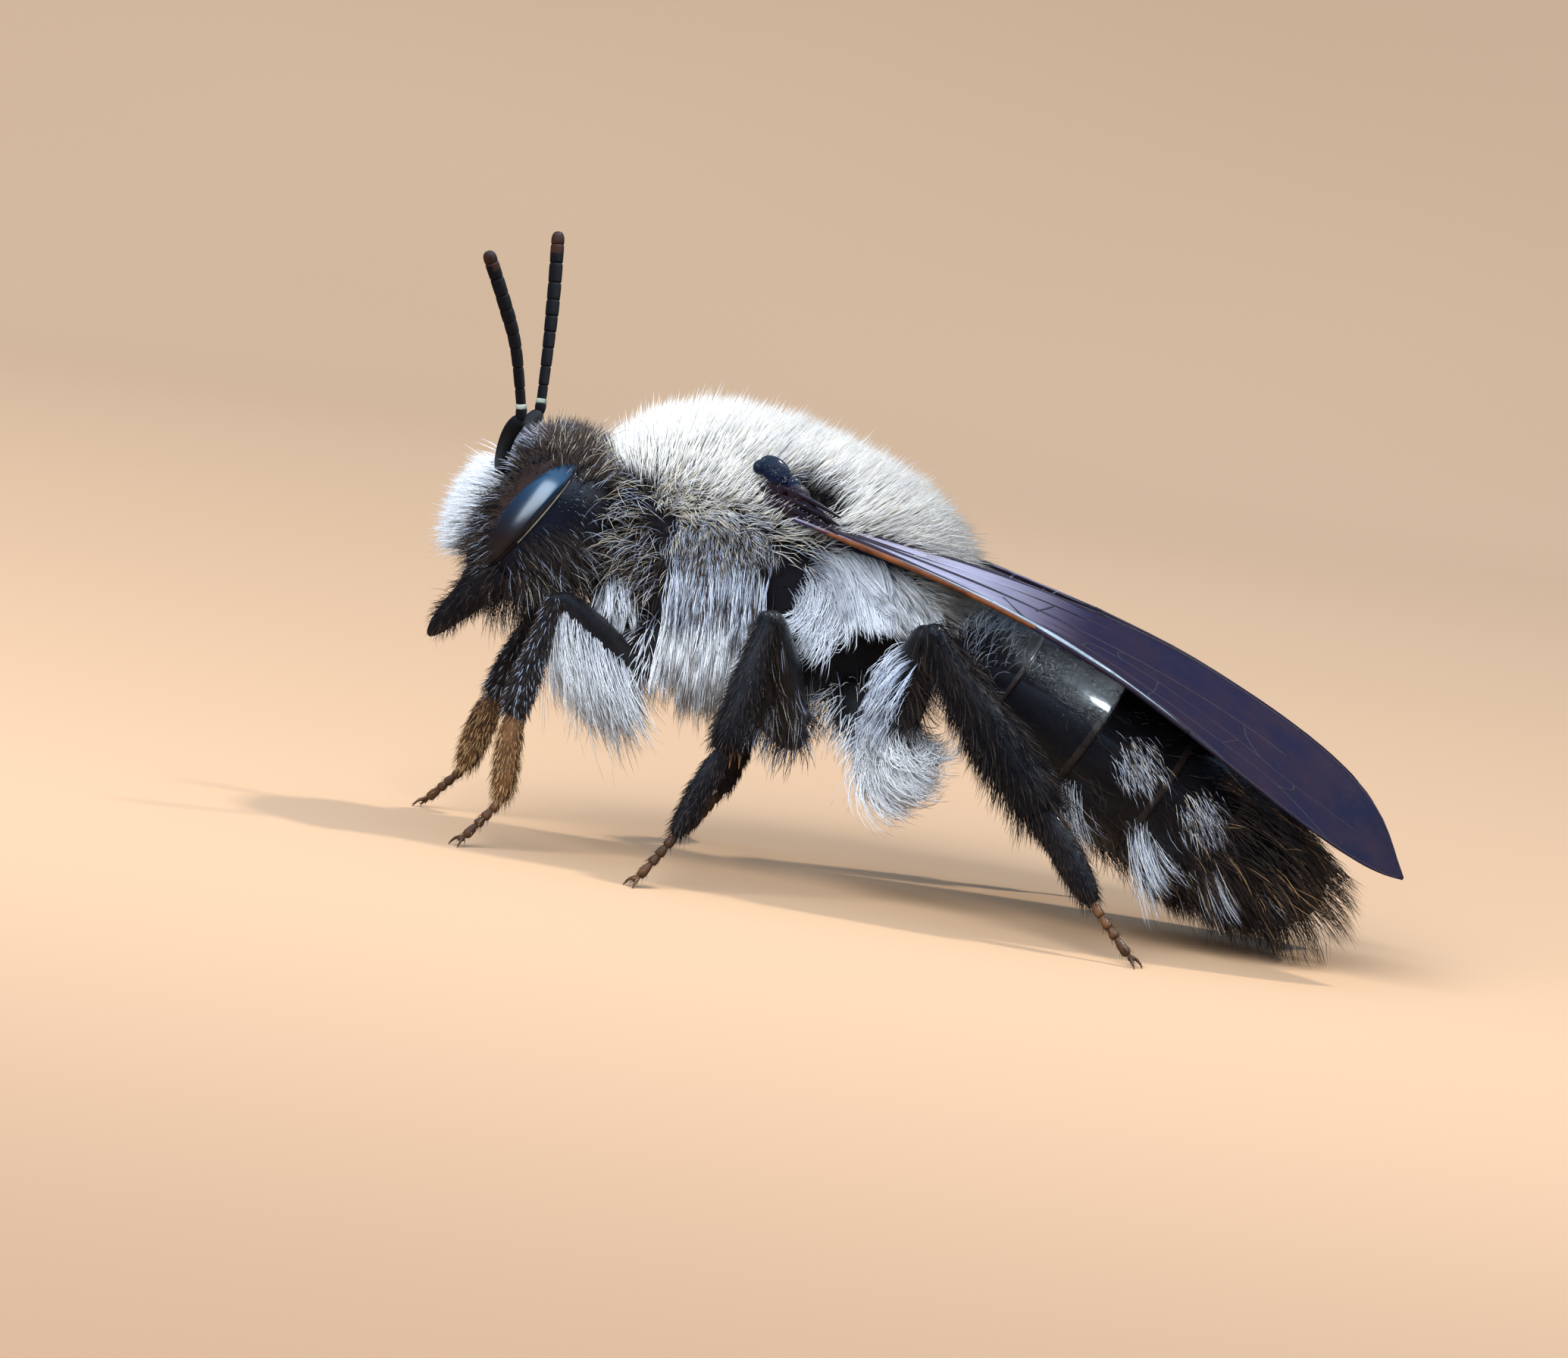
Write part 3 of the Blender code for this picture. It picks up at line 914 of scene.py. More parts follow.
@dataclass(frozen=True)
class Zone:
    """How the hairs of one part of the coat grow and lie. Directions count Y outwards on both sides."""

    name: str
    hairs: int
    length: float
    furs: tuple[tuple[Fur, float], ...]
    lay: Point = (0.0, 0.0, 0.0)  # the way they are combed
    stand: float = 1.0  # how much they stand off the skin
    along: float = 0.0  # how much they follow the form's own axis
    bend: Point = (0.0, 0.0, -1.0)  # the way their tips turn
    arc: float = 0.4  # how far they turn, in radians
    wave: float = 0.0  # the height of their waves, as a share of their length
    sway: float = 0.0  # the height of the S that they all bend in
    wild: float = 0.2  # how much their directions differ
    spread: float = 0.2  # how much their lengths differ
    clump: float = 0.0  # how much neighbours close up at their tips
    clump_size: int = 14
    width: float = 0.022
    rings: int = 3
    inside: tuple[Region, ...] = ()
    outside: tuple[Region, ...] = ()
    facing: Point | None = None
    least: float = 0.0  # how squarely the skin has to face that way
    shares: tuple[float, float] = (0.0, 1.0)  # of the form's length

    def weight(self, points: Array, normals: Array, shares: Array) -> Array:
        """How thickly the hairs grow at each point, from 0 to 1.

        Args:
            points: places on the skin, with Y outwards.
            normals: the skin's directions there, with Y outwards.
            shares: where the places lie along the form.

        Returns:
            The weights.
        """
        weight = np.ones(len(points))
        if self.inside:
            weight = np.max([region.weight(points) for region in self.inside], axis=0)
        for region in self.outside:
            weight = weight * (1.0 - region.weight(points))
        if self.facing is not None:
            square = normals @ unit(np.array(self.facing))
            weight = weight * smooth_step(square, self.least, self.least + 0.25)
        low, high = self.shares
        if low > 0.0:
            weight = weight * smooth_step(shares, low - 0.02, low + 0.03)
        if high < 1.0:
            weight = weight * smooth_step(shares, high + 0.02, high - 0.03)
        return weight


@dataclass
class Scalp:
    """A skin that hairs grow from, with the axis that it is unrolled about."""

    piece: Object
    axis: Axis
    cell: tuple[int, int] = (0, 0)  # its place in the coat's unwrap, as column and row
    cells: tuple[int, int] = (1, 1)

    def unwrap(self, roots: Array) -> Array:
        """The roots' places on the coat's unwrap."""
        places = self.axis.unwrap(roots)
        return (np.array(self.cell) + 0.02 + 0.96 * places) / np.array(self.cells)


@dataclass
class Locks:
    """Hairs that are ready to be joined into a mesh: each array has one row a hair."""

    points: Array  # hairs by points by axes, in the bee's millimetres
    shade: Array  # hairs by points
    patch: Array  # hairs by points by two: places on the coat's unwrap
    fur: Array  # the index of each hair's fur
    rings: int

    def taken(self, rows: Array) -> Locks:
        """Only these rows of the hairs."""
        return Locks(self.points[rows], self.shade[rows], self.patch[rows], self.fur[rows], self.rings)


class Groomer:
    """Grows the hairs of zones on scalps and joins them into coat pieces."""

    PATCH = 0.003  # how wide a hair's patch is on the unwrap
    FLOOR = 0.03  # no hair comes lower than this, in millimetres
    SUNK = 0.02  # how deep a hair's foot sits in the skin, in millimetres
    RISE = 0.08  # how much of a hair's direction points out of the skin at least
    TAPER = 0.7  # the share of its width that a hair loses towards its tip

    def __init__(self, bench: Bench, seed: int) -> None:
        """Starts an empty coat.

        Args:
            bench: where the pieces are made.
            seed: of the random draws.
        """
        self.bench = bench
        self.random = np.random.default_rng(seed)
        self.furs: list[Fur] = []
        self.locks: list[Locks] = []
        self.surfaces: dict[str, tuple[Array, Array]] = {}

    def grow(self, scalps: Sequence[Scalp], zones: Sequence[Zone]) -> None:
        """Grows every zone on every scalp.

        Args:
            scalps: the skins.
            zones: how the hairs grow, in the order of their random draws.
        """
        for zone in zones:
            found = [(scalp, *self._places(scalp, zone)) for scalp in scalps]
            total = sum(weights.sum() for _, _, _, weights in found)
            if total <= 0:
                log.warning("zone %s grows nowhere", zone.name)
                continue
            for scalp, corners, normals, weights in found:
                count = int(round(zone.hairs * weights.sum() / total))
                if count:
                    self._plant(scalp, zone, corners, normals, weights, count)

    def _places(self, scalp: Scalp, zone: Zone) -> tuple[Array, Array, Array]:
        """Where a zone grows on a scalp.

        Args:
            scalp: the skin.
            zone: how the hairs grow.

        Returns:
            The triangles, their corners' normals and how many of the hairs each should carry.
        """
        name = scalp.piece.name
        if name not in self.surfaces:
            self.surfaces[name] = self.bench.surface(scalp.piece)
        corners, normals = self.surfaces[name]
        middle, facing = corners.mean(axis=1), unit(normals.mean(axis=1))
        shares = scalp.axis.unwrap(middle)[:, 1]
        mirror = outward_signs(middle)
        sides = corners[:, 1:] - corners[:, :1]
        area = 0.5 * np.linalg.norm(np.cross(sides[:, 0], sides[:, 1]), axis=1)
        return corners, normals, area * zone.weight(middle * mirror, facing * mirror, shares)

    def _plant(
        self, scalp: Scalp, zone: Zone, corners: Array, normals: Array, weights: Array, count: int
    ) -> None:
        """Grows one zone's hairs on one scalp.

        Args:
            scalp: the skin.
            zone: how they grow.
            corners: the skin's triangles.
            normals: their corners' normals.
            weights: how many hairs each should carry.
            count: how many hairs there are in all.
        """
        random = self.random
        chosen = random.choice(len(weights), size=count, p=weights / weights.sum())
        mix = random.dirichlet((1.0, 1.0, 1.0), size=count)[:, :, None]
        roots = (corners[chosen] * mix).sum(axis=1)
        facing = unit((normals[chosen] * mix).sum(axis=1))
        mirror = outward_signs(roots)
        flow = np.array(zone.lay) * mirror + zone.along * np.array(scalp.axis.along)
        start = unit(zone.stand * facing + flow + zone.wild * random.normal(size=(count, 3)))
        under = np.minimum((start * facing).sum(axis=1, keepdims=True) - self.RISE, 0.0)
        start = unit(start - under * facing)
        length = zone.length * np.clip(1.0 + zone.spread * random.normal(size=(count, 1)), 0.35, 1.8)
        bend = np.array(zone.bend) * mirror + 0.25 * zone.wild * random.normal(size=(count, 3))
        bend = unit(bend - (bend * start).sum(axis=1, keepdims=True) * start)
        arc = np.maximum(zone.arc * (1.0 + 0.35 * random.normal(size=(count, 1))), 0.02)
        steps = np.linspace(0.0, 1.0, zone.rings + 1)
        angle = arc * steps
        onward, aside = np.sin(angle) / arc, (1 - np.cos(angle)) / arc
        line = start[:, None] * onward[..., None] + bend[:, None] * aside[..., None]
        beside = np.cross(start, bend)
        if zone.wave:
            swing = zone.wave * np.sin(steps * 7.0 + TURN * random.random((count, 1))) * steps
            line = line + beside[:, None] * swing[..., None]
        if zone.sway:
            line = line - bend[:, None] * (zone.sway * np.sin(TURN * steps))[None, :, None]
        line = roots[:, None] + line * length[..., None] - self.SUNK * facing[:, None]
        tone = random.normal(0.0, 0.16, size=count)
        if zone.clump and count > 2 * zone.clump_size:
            line, leaders = self._close_up(line, zone)
            tone = 0.5 * tone + 1.1 * tone[leaders]
        line[:, 1:, 2] = np.maximum(line[:, 1:, 2], self.FLOOR)
        self._skin(scalp, zone, roots, line, beside, np.clip(tone, -0.45, 0.35))

    def _close_up(self, line: Array, zone: Zone) -> tuple[Array, Array]:
        """Draws the tips of neighbouring hairs towards a leader's, so that they form locks.

        Args:
            line: the centrelines, hairs by points by axes.
            zone: how they grow.

        Returns:
            The drawn-in centrelines, and each hair's leader.
        """
        leaders = self.random.choice(len(line), size=len(line) // zone.clump_size, replace=False)
        tree = KDTree(len(leaders))
        for index, leader in enumerate(leaders):
            tree.insert(line[leader, 0], index)
        tree.balance()
        nearest = np.array([leaders[tree.find(root)[1]] for root in line[:, 0]])
        pull = zone.clump * np.linspace(0.0, 1.0, line.shape[1])[None, :, None] ** 1.2
        apart = 0.12 * (line[:, :1] - line[nearest, :1])
        return line * (1.0 - pull) + (line[nearest] + apart) * pull, nearest

    def _skin(self, scalp: Scalp, zone: Zone, roots: Array, line: Array, beside: Array, tone: Array) -> None:
        """Wraps three-sided tapering skins round centrelines and keeps them.

        Args:
            scalp: the skin that they grow from.
            zone: how they grow.
            roots: where they grow.
            line: the centrelines, hairs by points by axes.
            beside: a direction square to each hair's bend.
            tone: how much paler each hair is.
        """
        count, rings = len(line), zone.rings
        steps = np.linspace(0.0, 1.0, rings + 1)
        ahead = unit(np.gradient(line, axis=1))
        first = unit(beside[:, None] - (beside[:, None] * ahead).sum(axis=2, keepdims=True) * ahead)
        second = np.cross(ahead, first)
        radius = 0.5 * zone.width * (1.0 - self.TAPER * steps**1.5)
        points = np.empty((count, 3 * rings + 1, 3))
        patch = np.empty((count, 3 * rings + 1, 2))
        shade = np.empty((count, 3 * rings + 1))
        centre = scalp.unwrap(roots)
        for corner in range(3):
            angle = TURN * corner / 3.0
            round_it = math.cos(angle) * first + math.sin(angle) * second
            edge = slice(corner, 3 * rings, 3)
            points[:, edge] = (line + radius[None, :, None] * round_it)[:, :rings]
            patch[:, edge, 0] = centre[:, :1] + self.PATCH * (corner / 2.0 - 0.5)
            patch[:, edge, 1] = centre[:, 1:] + self.PATCH * (steps[:rings] - 0.5)
            # painted shade towards each hair's foot, on top of its own random tone
            shade[:, edge] = steps[:rings] ** 0.6 + tone[:, None]
        points[:, -1] = line[:, -1]
        patch[:, -1] = centre + np.array([0.0, 0.5 * self.PATCH])
        shade[:, -1] = 1.0 + tone
        names = [fur for fur, _ in zone.furs]
        share = np.array([part for _, part in zone.furs])
        drawn = self.random.choice(len(names), size=count, p=share / share.sum())
        for fur in names:
            if fur not in self.furs:
                self.furs.append(fur)
        indices = np.array([self.furs.index(fur) for fur in names])[drawn]
        self.locks.append(Locks(points, np.clip(shade, 0.0, 1.0), np.clip(patch, 0.0, 1.0), indices, rings))

    def join(self, name: str) -> list[Object]:
        """Joins all the hairs into coat pieces, apart by slot and within the limit of triangles.

        Args:
            name: what the pieces' names start with.

        Returns:
            The pieces.
        """
        pieces = []
        for slot in (Slot.PALE, Slot.DARK):
            furs = [index for index, fur in enumerate(self.furs) if fur.slot is slot]
            batch: list[Locks] = []
            held = number = 0
            for lock in self.locks:
                rows = np.flatnonzero(np.isin(lock.fur, furs))
                each = 6 * lock.rings - 2
                while len(rows):
                    room = (MOST_COAT_TRIANGLES - held) // each
                    take, rows = rows[:room], rows[room:]
                    batch.append(lock.taken(take))
                    held += each * len(take)
                    if len(rows):
                        number += 1
                        pieces.append(self._piece(f"{name}_{slot.value}_{number}", batch, furs))
                        batch, held = [], 0
            if held:
                pieces.append(self._piece(f"{name}_{slot.value}_{number + 1}", batch, furs))
        return pieces

    def _piece(self, name: str, batch: Sequence[Locks], furs: Sequence[int]) -> Object:
        """One coat piece out of hairs.

        Args:
            name: its name.
            batch: its hairs.
            furs: the indices of the furs that it may hold.

        Returns:
            The piece.
        """
        points, faces, shades, patches, materials = [], [], [], [], []
        base = 0
        for lock in batch:
            count, each = lock.points.shape[:2]
            pattern = hair_faces(lock.rings)
            starts = base + each * np.arange(count)
            faces.append((starts[:, None, None] + pattern[None]).reshape(-1, 3))
            points.append(lock.points.reshape(-1, 3))
            shades.append(lock.shade.reshape(-1))
            patches.append(lock.patch.reshape(-1, 2))
            materials.append(np.repeat([furs.index(index) for index in lock.fur], len(pattern)))
            base += count * each
        corners = np.concatenate(faces)
        mesh = bpy.data.meshes.new(name)
        mesh.vertices.add(base)
        mesh.vertices.foreach_set("co", ((np.concatenate(points) + np.array(self.bench.offset)) * MM).ravel())
        mesh.loops.add(corners.size)
        mesh.loops.foreach_set("vertex_index", corners.ravel().astype(np.int32))
        mesh.polygons.add(len(corners))
        mesh.polygons.foreach_set("loop_start", np.arange(0, corners.size, 3, dtype=np.int32))
        mesh.polygons.foreach_set("material_index", np.concatenate(materials).astype(np.int32))
        mesh.update(calc_edges=True)
        mesh.attributes.new("shade", "FLOAT", "POINT").data.foreach_set("value", np.concatenate(shades))
        unwrap = np.concatenate(patches)[corners.ravel()]
        mesh.uv_layers.new(name="OFBake").data.foreach_set("uv", unwrap.ravel())
        mesh.shade_smooth()
        mesh.validate()
        return self.bench.finish(name, mesh, [self.furs[index] for index in furs])


def hair_faces(rings: int) -> Array:
    """The triangles of one hair: a foot, three sides and a tip, facing out."""
    faces = [(0, 2, 1)]
    for k in range(rings - 1):
        for i in range(3):
            a, b = 3 * k + i, 3 * k + (i + 1) % 3
            faces += [(a, b, b + 3), (a, b + 3, a + 3)]
    last = 3 * (rings - 1)
    faces += [(last + i, last + (i + 1) % 3, 3 * rings) for i in range(3)]
    return np.array(faces)


# ---- head


@dataclass
class Head:
    """The head: its capsule, face plates, eyes, jaws and antennae."""

    bench: Bench
    form: Form = field(default_factory=lambda: Form(
        plane_axis((-5.1, 6.0), (-6.35, 3.62), (-0.885, 0.465)),
        up=Arch(0.9, 0.4, 2.5), down=Arch(1.08, 0.4, 2.4), side=Arch(1.92, 0.42, 2.9), squareness=2.25,
    ))
    eye_middle: float = 0.494  # as a share of the head's length
    eye_reach: float = 0.383  # half the eye's length, as such a share
    eye_line: float = 0.15  # how far towards the face its middle line lies
    eye_tilt: float = 0.09  # how much further its lower end does, and how much less its upper
    eye_front: float = 0.39  # how far it swells from that line towards the face
    eye_back: float = 0.07  # and how far towards the nape
    eye_bulge: float = 0.13
    pieces: dict[str, Object] = field(default_factory=dict)
    jaw_axes: dict[str, Axis] = field(default_factory=dict)

    def at(self, share: float, y: float, front: float) -> Vector:
        """A place on the head: a share of its length, its own Y and a distance towards the face."""
        return self.form.axis.point(share, -y, front)

    def build(self) -> None:
        """Makes every piece of the head."""
        self._capsule()
        self._face()
        self._eyes()
        self._ocelli()
        self._jaws()
        self._antennae()

    def _capsule(self) -> None:
        """The capsule of the head."""
        bm = self.form.loft(18, 40)
        self.pieces["capsule"] = self.bench.piece("head_capsule", bm, [HEAD_SHELL], ["head"], levels=1)

    def _face(self) -> None:
        """The shield between the eyes and the jaws, the lip under it and the ridge above it."""
        axis = self.form.axis
        turn = turn_of(axis)
        bm = bmesh.new()
        add_ball(bm, axis.point(0.74, 0, 0.42), (0.92, 0.32, 0.62), turn, 24)
        add_ball(bm, axis.point(0.5, 0, 0.7), (0.34, 0.24, 0.4), turn)
        self.bench.piece("clypeus", bm, [CLYPEUS_SHELL], levels=1)
        bm = bmesh.new()
        add_ball(bm, axis.point(0.965, 0, 0.36), (0.42, 0.16, 0.3), turn)
        self.bench.piece("labrum", bm, [CLYPEUS_SHELL], levels=1)

    def _eyes(self) -> None:
        """The eyes, each in the low brown rim of its socket, with a fine pale line behind that is a painted
        highlight on the edge of the head.
        """
        for name, sign in SIDES.items():
            lens = self._lens(sign, 0.0, self.eye_bulge)
            self.bench.piece(f"eye_lens_{name}", lens, [EYE_FACETS], [f"eye_{name}"])
            self.bench.piece(f"eye_rim_{name}", self._lens(sign, 0.05, 0.055), [ORBIT_SHELL])
            # a painted highlight: a thin pale tube that follows the rear edge of the eye's rim
            shares = [0.2 + 0.11 * k for k in range(5)]
            path = tuple(self._on_skin(sign, share, self._eye_edge(share), 0.012) for share in shares)
            stations = tuple((k / 16, 0.002 + 0.011 * math.sin(math.pi * k / 16), 0.014) for k in range(17))
            self.bench.piece(f"eye_seam_{name}", Limb(path, stations, sides=8).loft(), [EDGE_GLINT_SHELL])

    def _eye_edge(self, share: float) -> float:
        """How far towards the face the rear edge of the eye's rim lies, at a share of the head's length."""
        along = (share - self.eye_middle) / self.eye_reach
        across = max(0.0, 1.0 - along**2) ** 0.5
        return self.eye_line + self.eye_tilt * along - across * (self.eye_back + 0.03)

    def _on_skin(self, sign: float, share: float, front: float, swell: float) -> Vector:
        """A place on one side of the capsule.

        Args:
            sign: the side.
            share: of its length.
            front: the distance towards the face.
            swell: how far it lies outside the capsule.

        Returns:
            The place.
        """
        height = self.form.up.at(share) if front > 0 else self.form.down.at(share)
        sine = math.copysign(min(abs(front) / height, 0.98) ** (0.5 * self.form.squareness), front)
        turn = math.asin(sine)
        return self.form.point(share, turn if sign < 0 else math.pi - turn, swell)

    def _lens(self, sign: float, rim: float, bulge: float) -> BMesh:
        """A lens laid on the side of the head, straight towards the nape and round towards the face.

        Args:
            sign: the side of the head.
            rim: how much wider it is than the eye, in millimetres.
            bulge: how far it stands out of the capsule.

        Returns:
            The mesh.
        """
        bm = bmesh.new()
        bmesh.ops.create_uvsphere(bm, u_segments=40, v_segments=28, radius=1.0)
        for vert in bm.verts:
            across, out, along = vert.co
            share = self.eye_middle + (self.eye_reach + rim / self.form.axis.length) * along
            line = self.eye_line + self.eye_tilt * along
            front = line + across * (self.eye_front + 4.4 * rim if across > 0 else self.eye_back + 0.5 * rim)
            vert.co = self._on_skin(sign, share, front, bulge * out)
        return bm

    def _ocelli(self) -> None:
        """The three simple eyes on the crown."""
        bm = bmesh.new()
        for sideways, share in ((-0.32, 0.12), (0.32, 0.12), (0.0, 0.2)):
            place = self.at(share, sideways, self.form.up.at(share) - 0.01)
            add_ball(bm, place, (0.11, 0.11, 0.11), None, 16)
        self.bench.piece("ocelli", bm, [OCELLUS_SHELL])

    def _jaws(self) -> None:
        """The curved jaws that close under the lip, each with a tooth before its tip."""
        for name, sign in SIDES.items():
            path = mirrored(
                ((-6.12, 1.22, 4.1), (-6.52, 1.12, 3.68), (-6.9, 0.8, 3.22), (-7.16, 0.34, 2.86)), sign)
            jaw = Limb(path, ((0.04, 0.34, 0.28), (0.2, 0.36, 0.3), (0.5, 0.29, 0.22), (0.78, 0.2, 0.15),
                              (0.95, 0.1, 0.07)), upper=Vector((-0.7, sign * 0.5, 0.5)))
            self.jaw_axes[f"jaw_{name}"] = jaw.axis
            bm = jaw.loft()
            tooth = mirrored(((-6.98, 0.62, 3.1), (-7.0, 0.5, 2.98), (-7.02, 0.36, 2.93)), sign)
            Limb(tooth, ((0.0, 0.09, 0.07), (0.6, 0.07, 0.05), (0.95, 0.03, 0.03)), sides=8).add_to(bm)
            add_ball(bm, Vector((-6.2, sign * 1.34, 4.12)), (0.09, 0.09, 0.11), None, 12)
            self.pieces[f"jaw_{name}"] = self.bench.piece(
                f"jaw_{name}", bm, [CLYPEUS_SHELL], [f"mandible_{name}"], levels=2)

    def _antennae(self) -> None:
        """The stem, the ring at its end and the whip of ten short joints, on both sides."""
        whips = {
            "left": ((-6.24, -1.45, 6.42), (-6.46, -1.62, 7.34), (-6.72, -1.82, 7.98), (-7.06, -2.0, 8.68)),
            "right": ((-6.1, 1.45, 6.42), (-6.13, 1.62, 7.3), (-6.18, 1.8, 8.15), (-6.26, 1.95, 9.06)),
        }
        for name, sign in SIDES.items():
            socket = self.at(0.46, sign * 0.36, self.form.up.at(0.46) * 0.93)
            whip = [Vector(point) for point in whips[name]]
            elbow = whip[0]
            bend = socket.lerp(elbow, 0.5) + Vector((-0.16, sign * 0.1, 0.0))
            stem = Limb((socket, bend, elbow - Vector((0, 0, 0.12))), round_stations(
                (0.0, 0.1), (0.08, 0.13), (0.16, 0.09), (0.3, 0.11), (0.7, 0.125), (0.92, 0.13), (1.0, 0.09)))
            self.bench.piece(
                f"antenna_stem_{name}", stem.loft(), [ANTENNA_SHELL], [f"antenna_scape_{name}"], levels=2)
            self._whip(name, whip)

    def _whip(self, name: str, path: Sequence[Vector]) -> None:
        """The whip of one antenna: the elbow bead with its pale ring, then the joints.

        Args:
            name: the side.
            path: the whip's line, from the elbow.
        """
        bm = bmesh.new()
        elbow, start = path[0], curve_through(path, 0.04)
        bead = round_stations((0.0, 0.06), (0.25, 0.085), (0.6, 0.095), (1.0, 0.07))
        Limb((elbow - Vector((0, 0, 0.14)), elbow, start), bead).add_to(bm)
        joints = 10
        for index in range(joints):
            low, high = 0.045 + 0.955 * index / joints, 0.045 + 0.955 * (index + 1) / joints
            girth = 0.078 + 0.03 * min(1.0, index / 5.0)
            points = tuple(curve_through(path, low + (high - low) * t) for t in (0.0, 0.5, 1.0))
            neck, end = (0.68, 0.3) if index == joints - 1 else (1.01, 0.94)
            joint = round_stations((0.0, 0.94 * girth), (0.08, 0.98 * girth), (0.5, girth),
                                   (0.88, neck * girth), (1.0, end * girth))
            Limb(points, joint, tip=0.1).add_to(bm)
        rise = Vector((0, 0, 0.045))
        hoop = round_stations((0.0, 0.084), (0.5, 0.092), (1.0, 0.084))
        ring = Limb((start - rise, start, start + rise), hoop)
        self.bench.piece(f"antenna_ring_{name}", ring.loft(), [JOINT_RING], levels=1)
        tip_height = curve_through(path, 0.86).z
        for face in bm.faces:
            face.material_index = 1 if face.calc_center_median().z > tip_height else 0
        self.bench.piece(
            f"antenna_whip_{name}", bm, [ANTENNA_SHELL, ANTENNA_TIP], [f"antenna_flagellum_{name}"], levels=1)


# ---- thorax


HINGE_KNOBS = (  # of each hinge: their places, with Y outwards, and their half sizes
    ((-2.3, 1.96, 5.98), (0.2, 0.1, 0.17)),
    ((-2.02, 2.03, 5.88), (0.16, 0.12, 0.2)),
    ((-1.82, 2.08, 5.72), (0.11, 0.1, 0.24)),
    ((-2.36, 1.94, 5.72), (0.14, 0.1, 0.17)),
    ((-2.1, 2.0, 5.64), (0.13, 0.1, 0.18)),
    ((-1.6, 2.13, 5.62), (0.07, 0.08, 0.2)),
    ((-2.5, 1.94, 5.9), (0.1, 0.08, 0.12)),
)


@dataclass
class Thorax:
    """The trunk, the shield behind it and the scales over the wing roots."""

    bench: Bench
    form: Form = field(default_factory=lambda: Form(
        plane_axis((-4.8, 5.25), (0.3, 3.95), (0.25, 0.97)),
        up=Arch(1.65, 0.5, 2.8), down=Arch(1.75, 0.5, 2.5), side=Arch(1.8, 0.48, 2.7), squareness=2.1,
    ))
    chest: Axis = field(default_factory=lambda: plane_axis((-4.55, 4.75), (-4.2, 3.45), (-1.0, -0.27)))
    pieces: dict[str, Object] = field(default_factory=dict)

    def build(self) -> None:
        """Makes every piece of the thorax."""
        self.pieces["trunk"] = self.bench.piece(
            "thorax_trunk", self.form.loft(20, 44), [THORAX_SHELL], ["thorax"], levels=1)
        self._shields()
        self._neck()
        self._scales()

    def _shields(self) -> None:
        """The rounded shield behind the trunk's back, the collar before it and the front of the chest."""
        for name, axis, place, radii in (
            ("scutellum", self.form.axis, (0.78, 0, 1.28), (0.95, 0.3, 0.42)),
            ("collar", self.form.axis, (0.06, 0, 0.1), (1.2, 0.85, 0.3)),
            ("chest", self.chest, (0.5,), (0.95, 0.62, 0.8)),
        ):
            bm = bmesh.new()
            add_ball(bm, axis.point(*place), radii, turn_of(axis), 24)
            self.pieces[name] = self.bench.piece(name, bm, [THORAX_SHELL], levels=1)

    def _neck(self) -> None:
        """The short neck that carries the head, and the narrow waist that carries the abdomen."""
        for name, path, stations, finish in (
            ("neck", ((-5.15, 0, 4.95), (-4.8, 0, 5.0), (-4.4, 0, 5.1)),
             ((0.0, 0.5, 0.42), (0.5, 0.42, 0.38), (1.0, 0.6, 0.5)), THORAX_SHELL),
            ("waist", ((0.05, 0, 4.0), (0.35, 0, 4.08), (0.7, 0, 4.05)),
             ((0.0, 0.42, 0.34), (0.45, 0.3, 0.26), (1.0, 0.5, 0.42)), RING_SHELL),
        ):
            self.bench.piece(name, Limb(mirrored(path, 1.0), stations).loft(), [finish], levels=2)

    def _scales(self) -> None:
        """The domed blue-black scale over each wing root, and the ridged hinge plates behind it."""
        for name, sign in SIDES.items():
            axis = Axis(*mirrored(((-2.62, 1.96, 6.3), (-2.1, 2.03, 5.98), (0.1, 0.9, 0.5)), sign))
            turn = turn_of(axis)
            bm = bmesh.new()
            add_ball(bm, axis.point(0.4), (0.2, 0.09, 0.27), turn, 28)
            add_ball(bm, axis.point(0.1, -0.1, -0.03), (0.13, 0.07, 0.12), turn, 20)
            add_ball(bm, axis.point(0.95, 0.03, -0.02), (0.12, 0.07, 0.13), turn, 20)
            self.bench.piece(f"wing_scale_{name}", bm, [SCALE_SHELL], [f"tegula_{name}"], levels=1)
            bm = bmesh.new()
            for place, radii in HINGE_KNOBS:
                add_ball(bm, *mirrored((place,), sign), radii, turn, 16)
            for rise in (0.0, 0.12, 0.24):
                line = ((-2.3, 2.02, 5.7), (-1.9, 2.16, 5.62), (-1.35, 2.24, 5.4))
                ridge = mirrored(((x, y, z + rise) for x, y, z in line), sign)
                Limb(ridge, ((0.0, 0.03, 0.03), (0.3, 0.055, 0.05), (0.7, 0.045, 0.04), (1.0, 0.02, 0.02)),
                     sides=8).add_to(bm)
            self.bench.piece(f"wing_hinge_{name}", bm, [HINGE_SHELL], levels=1)


# ---- wings


@dataclass(frozen=True)
class WingPlan:
    """One kind of wing: its place, its outline and its veins."""

    name: str
    root: Point
    tip: Point
    edges: Stations  # share of the length, leading edge, trailing edge
    bow: float  # how far it rises over the straight line from root to tip
    slope: float  # across its width, outer edge down, in degrees
    veins: tuple[tuple[str, float, float, tuple[tuple[float, float], ...]], ...]
    sag: float = 0.0  # the share of the bow that its tip end lacks
    twist: float = 0.0  # how much steeper it is at its tip, in degrees


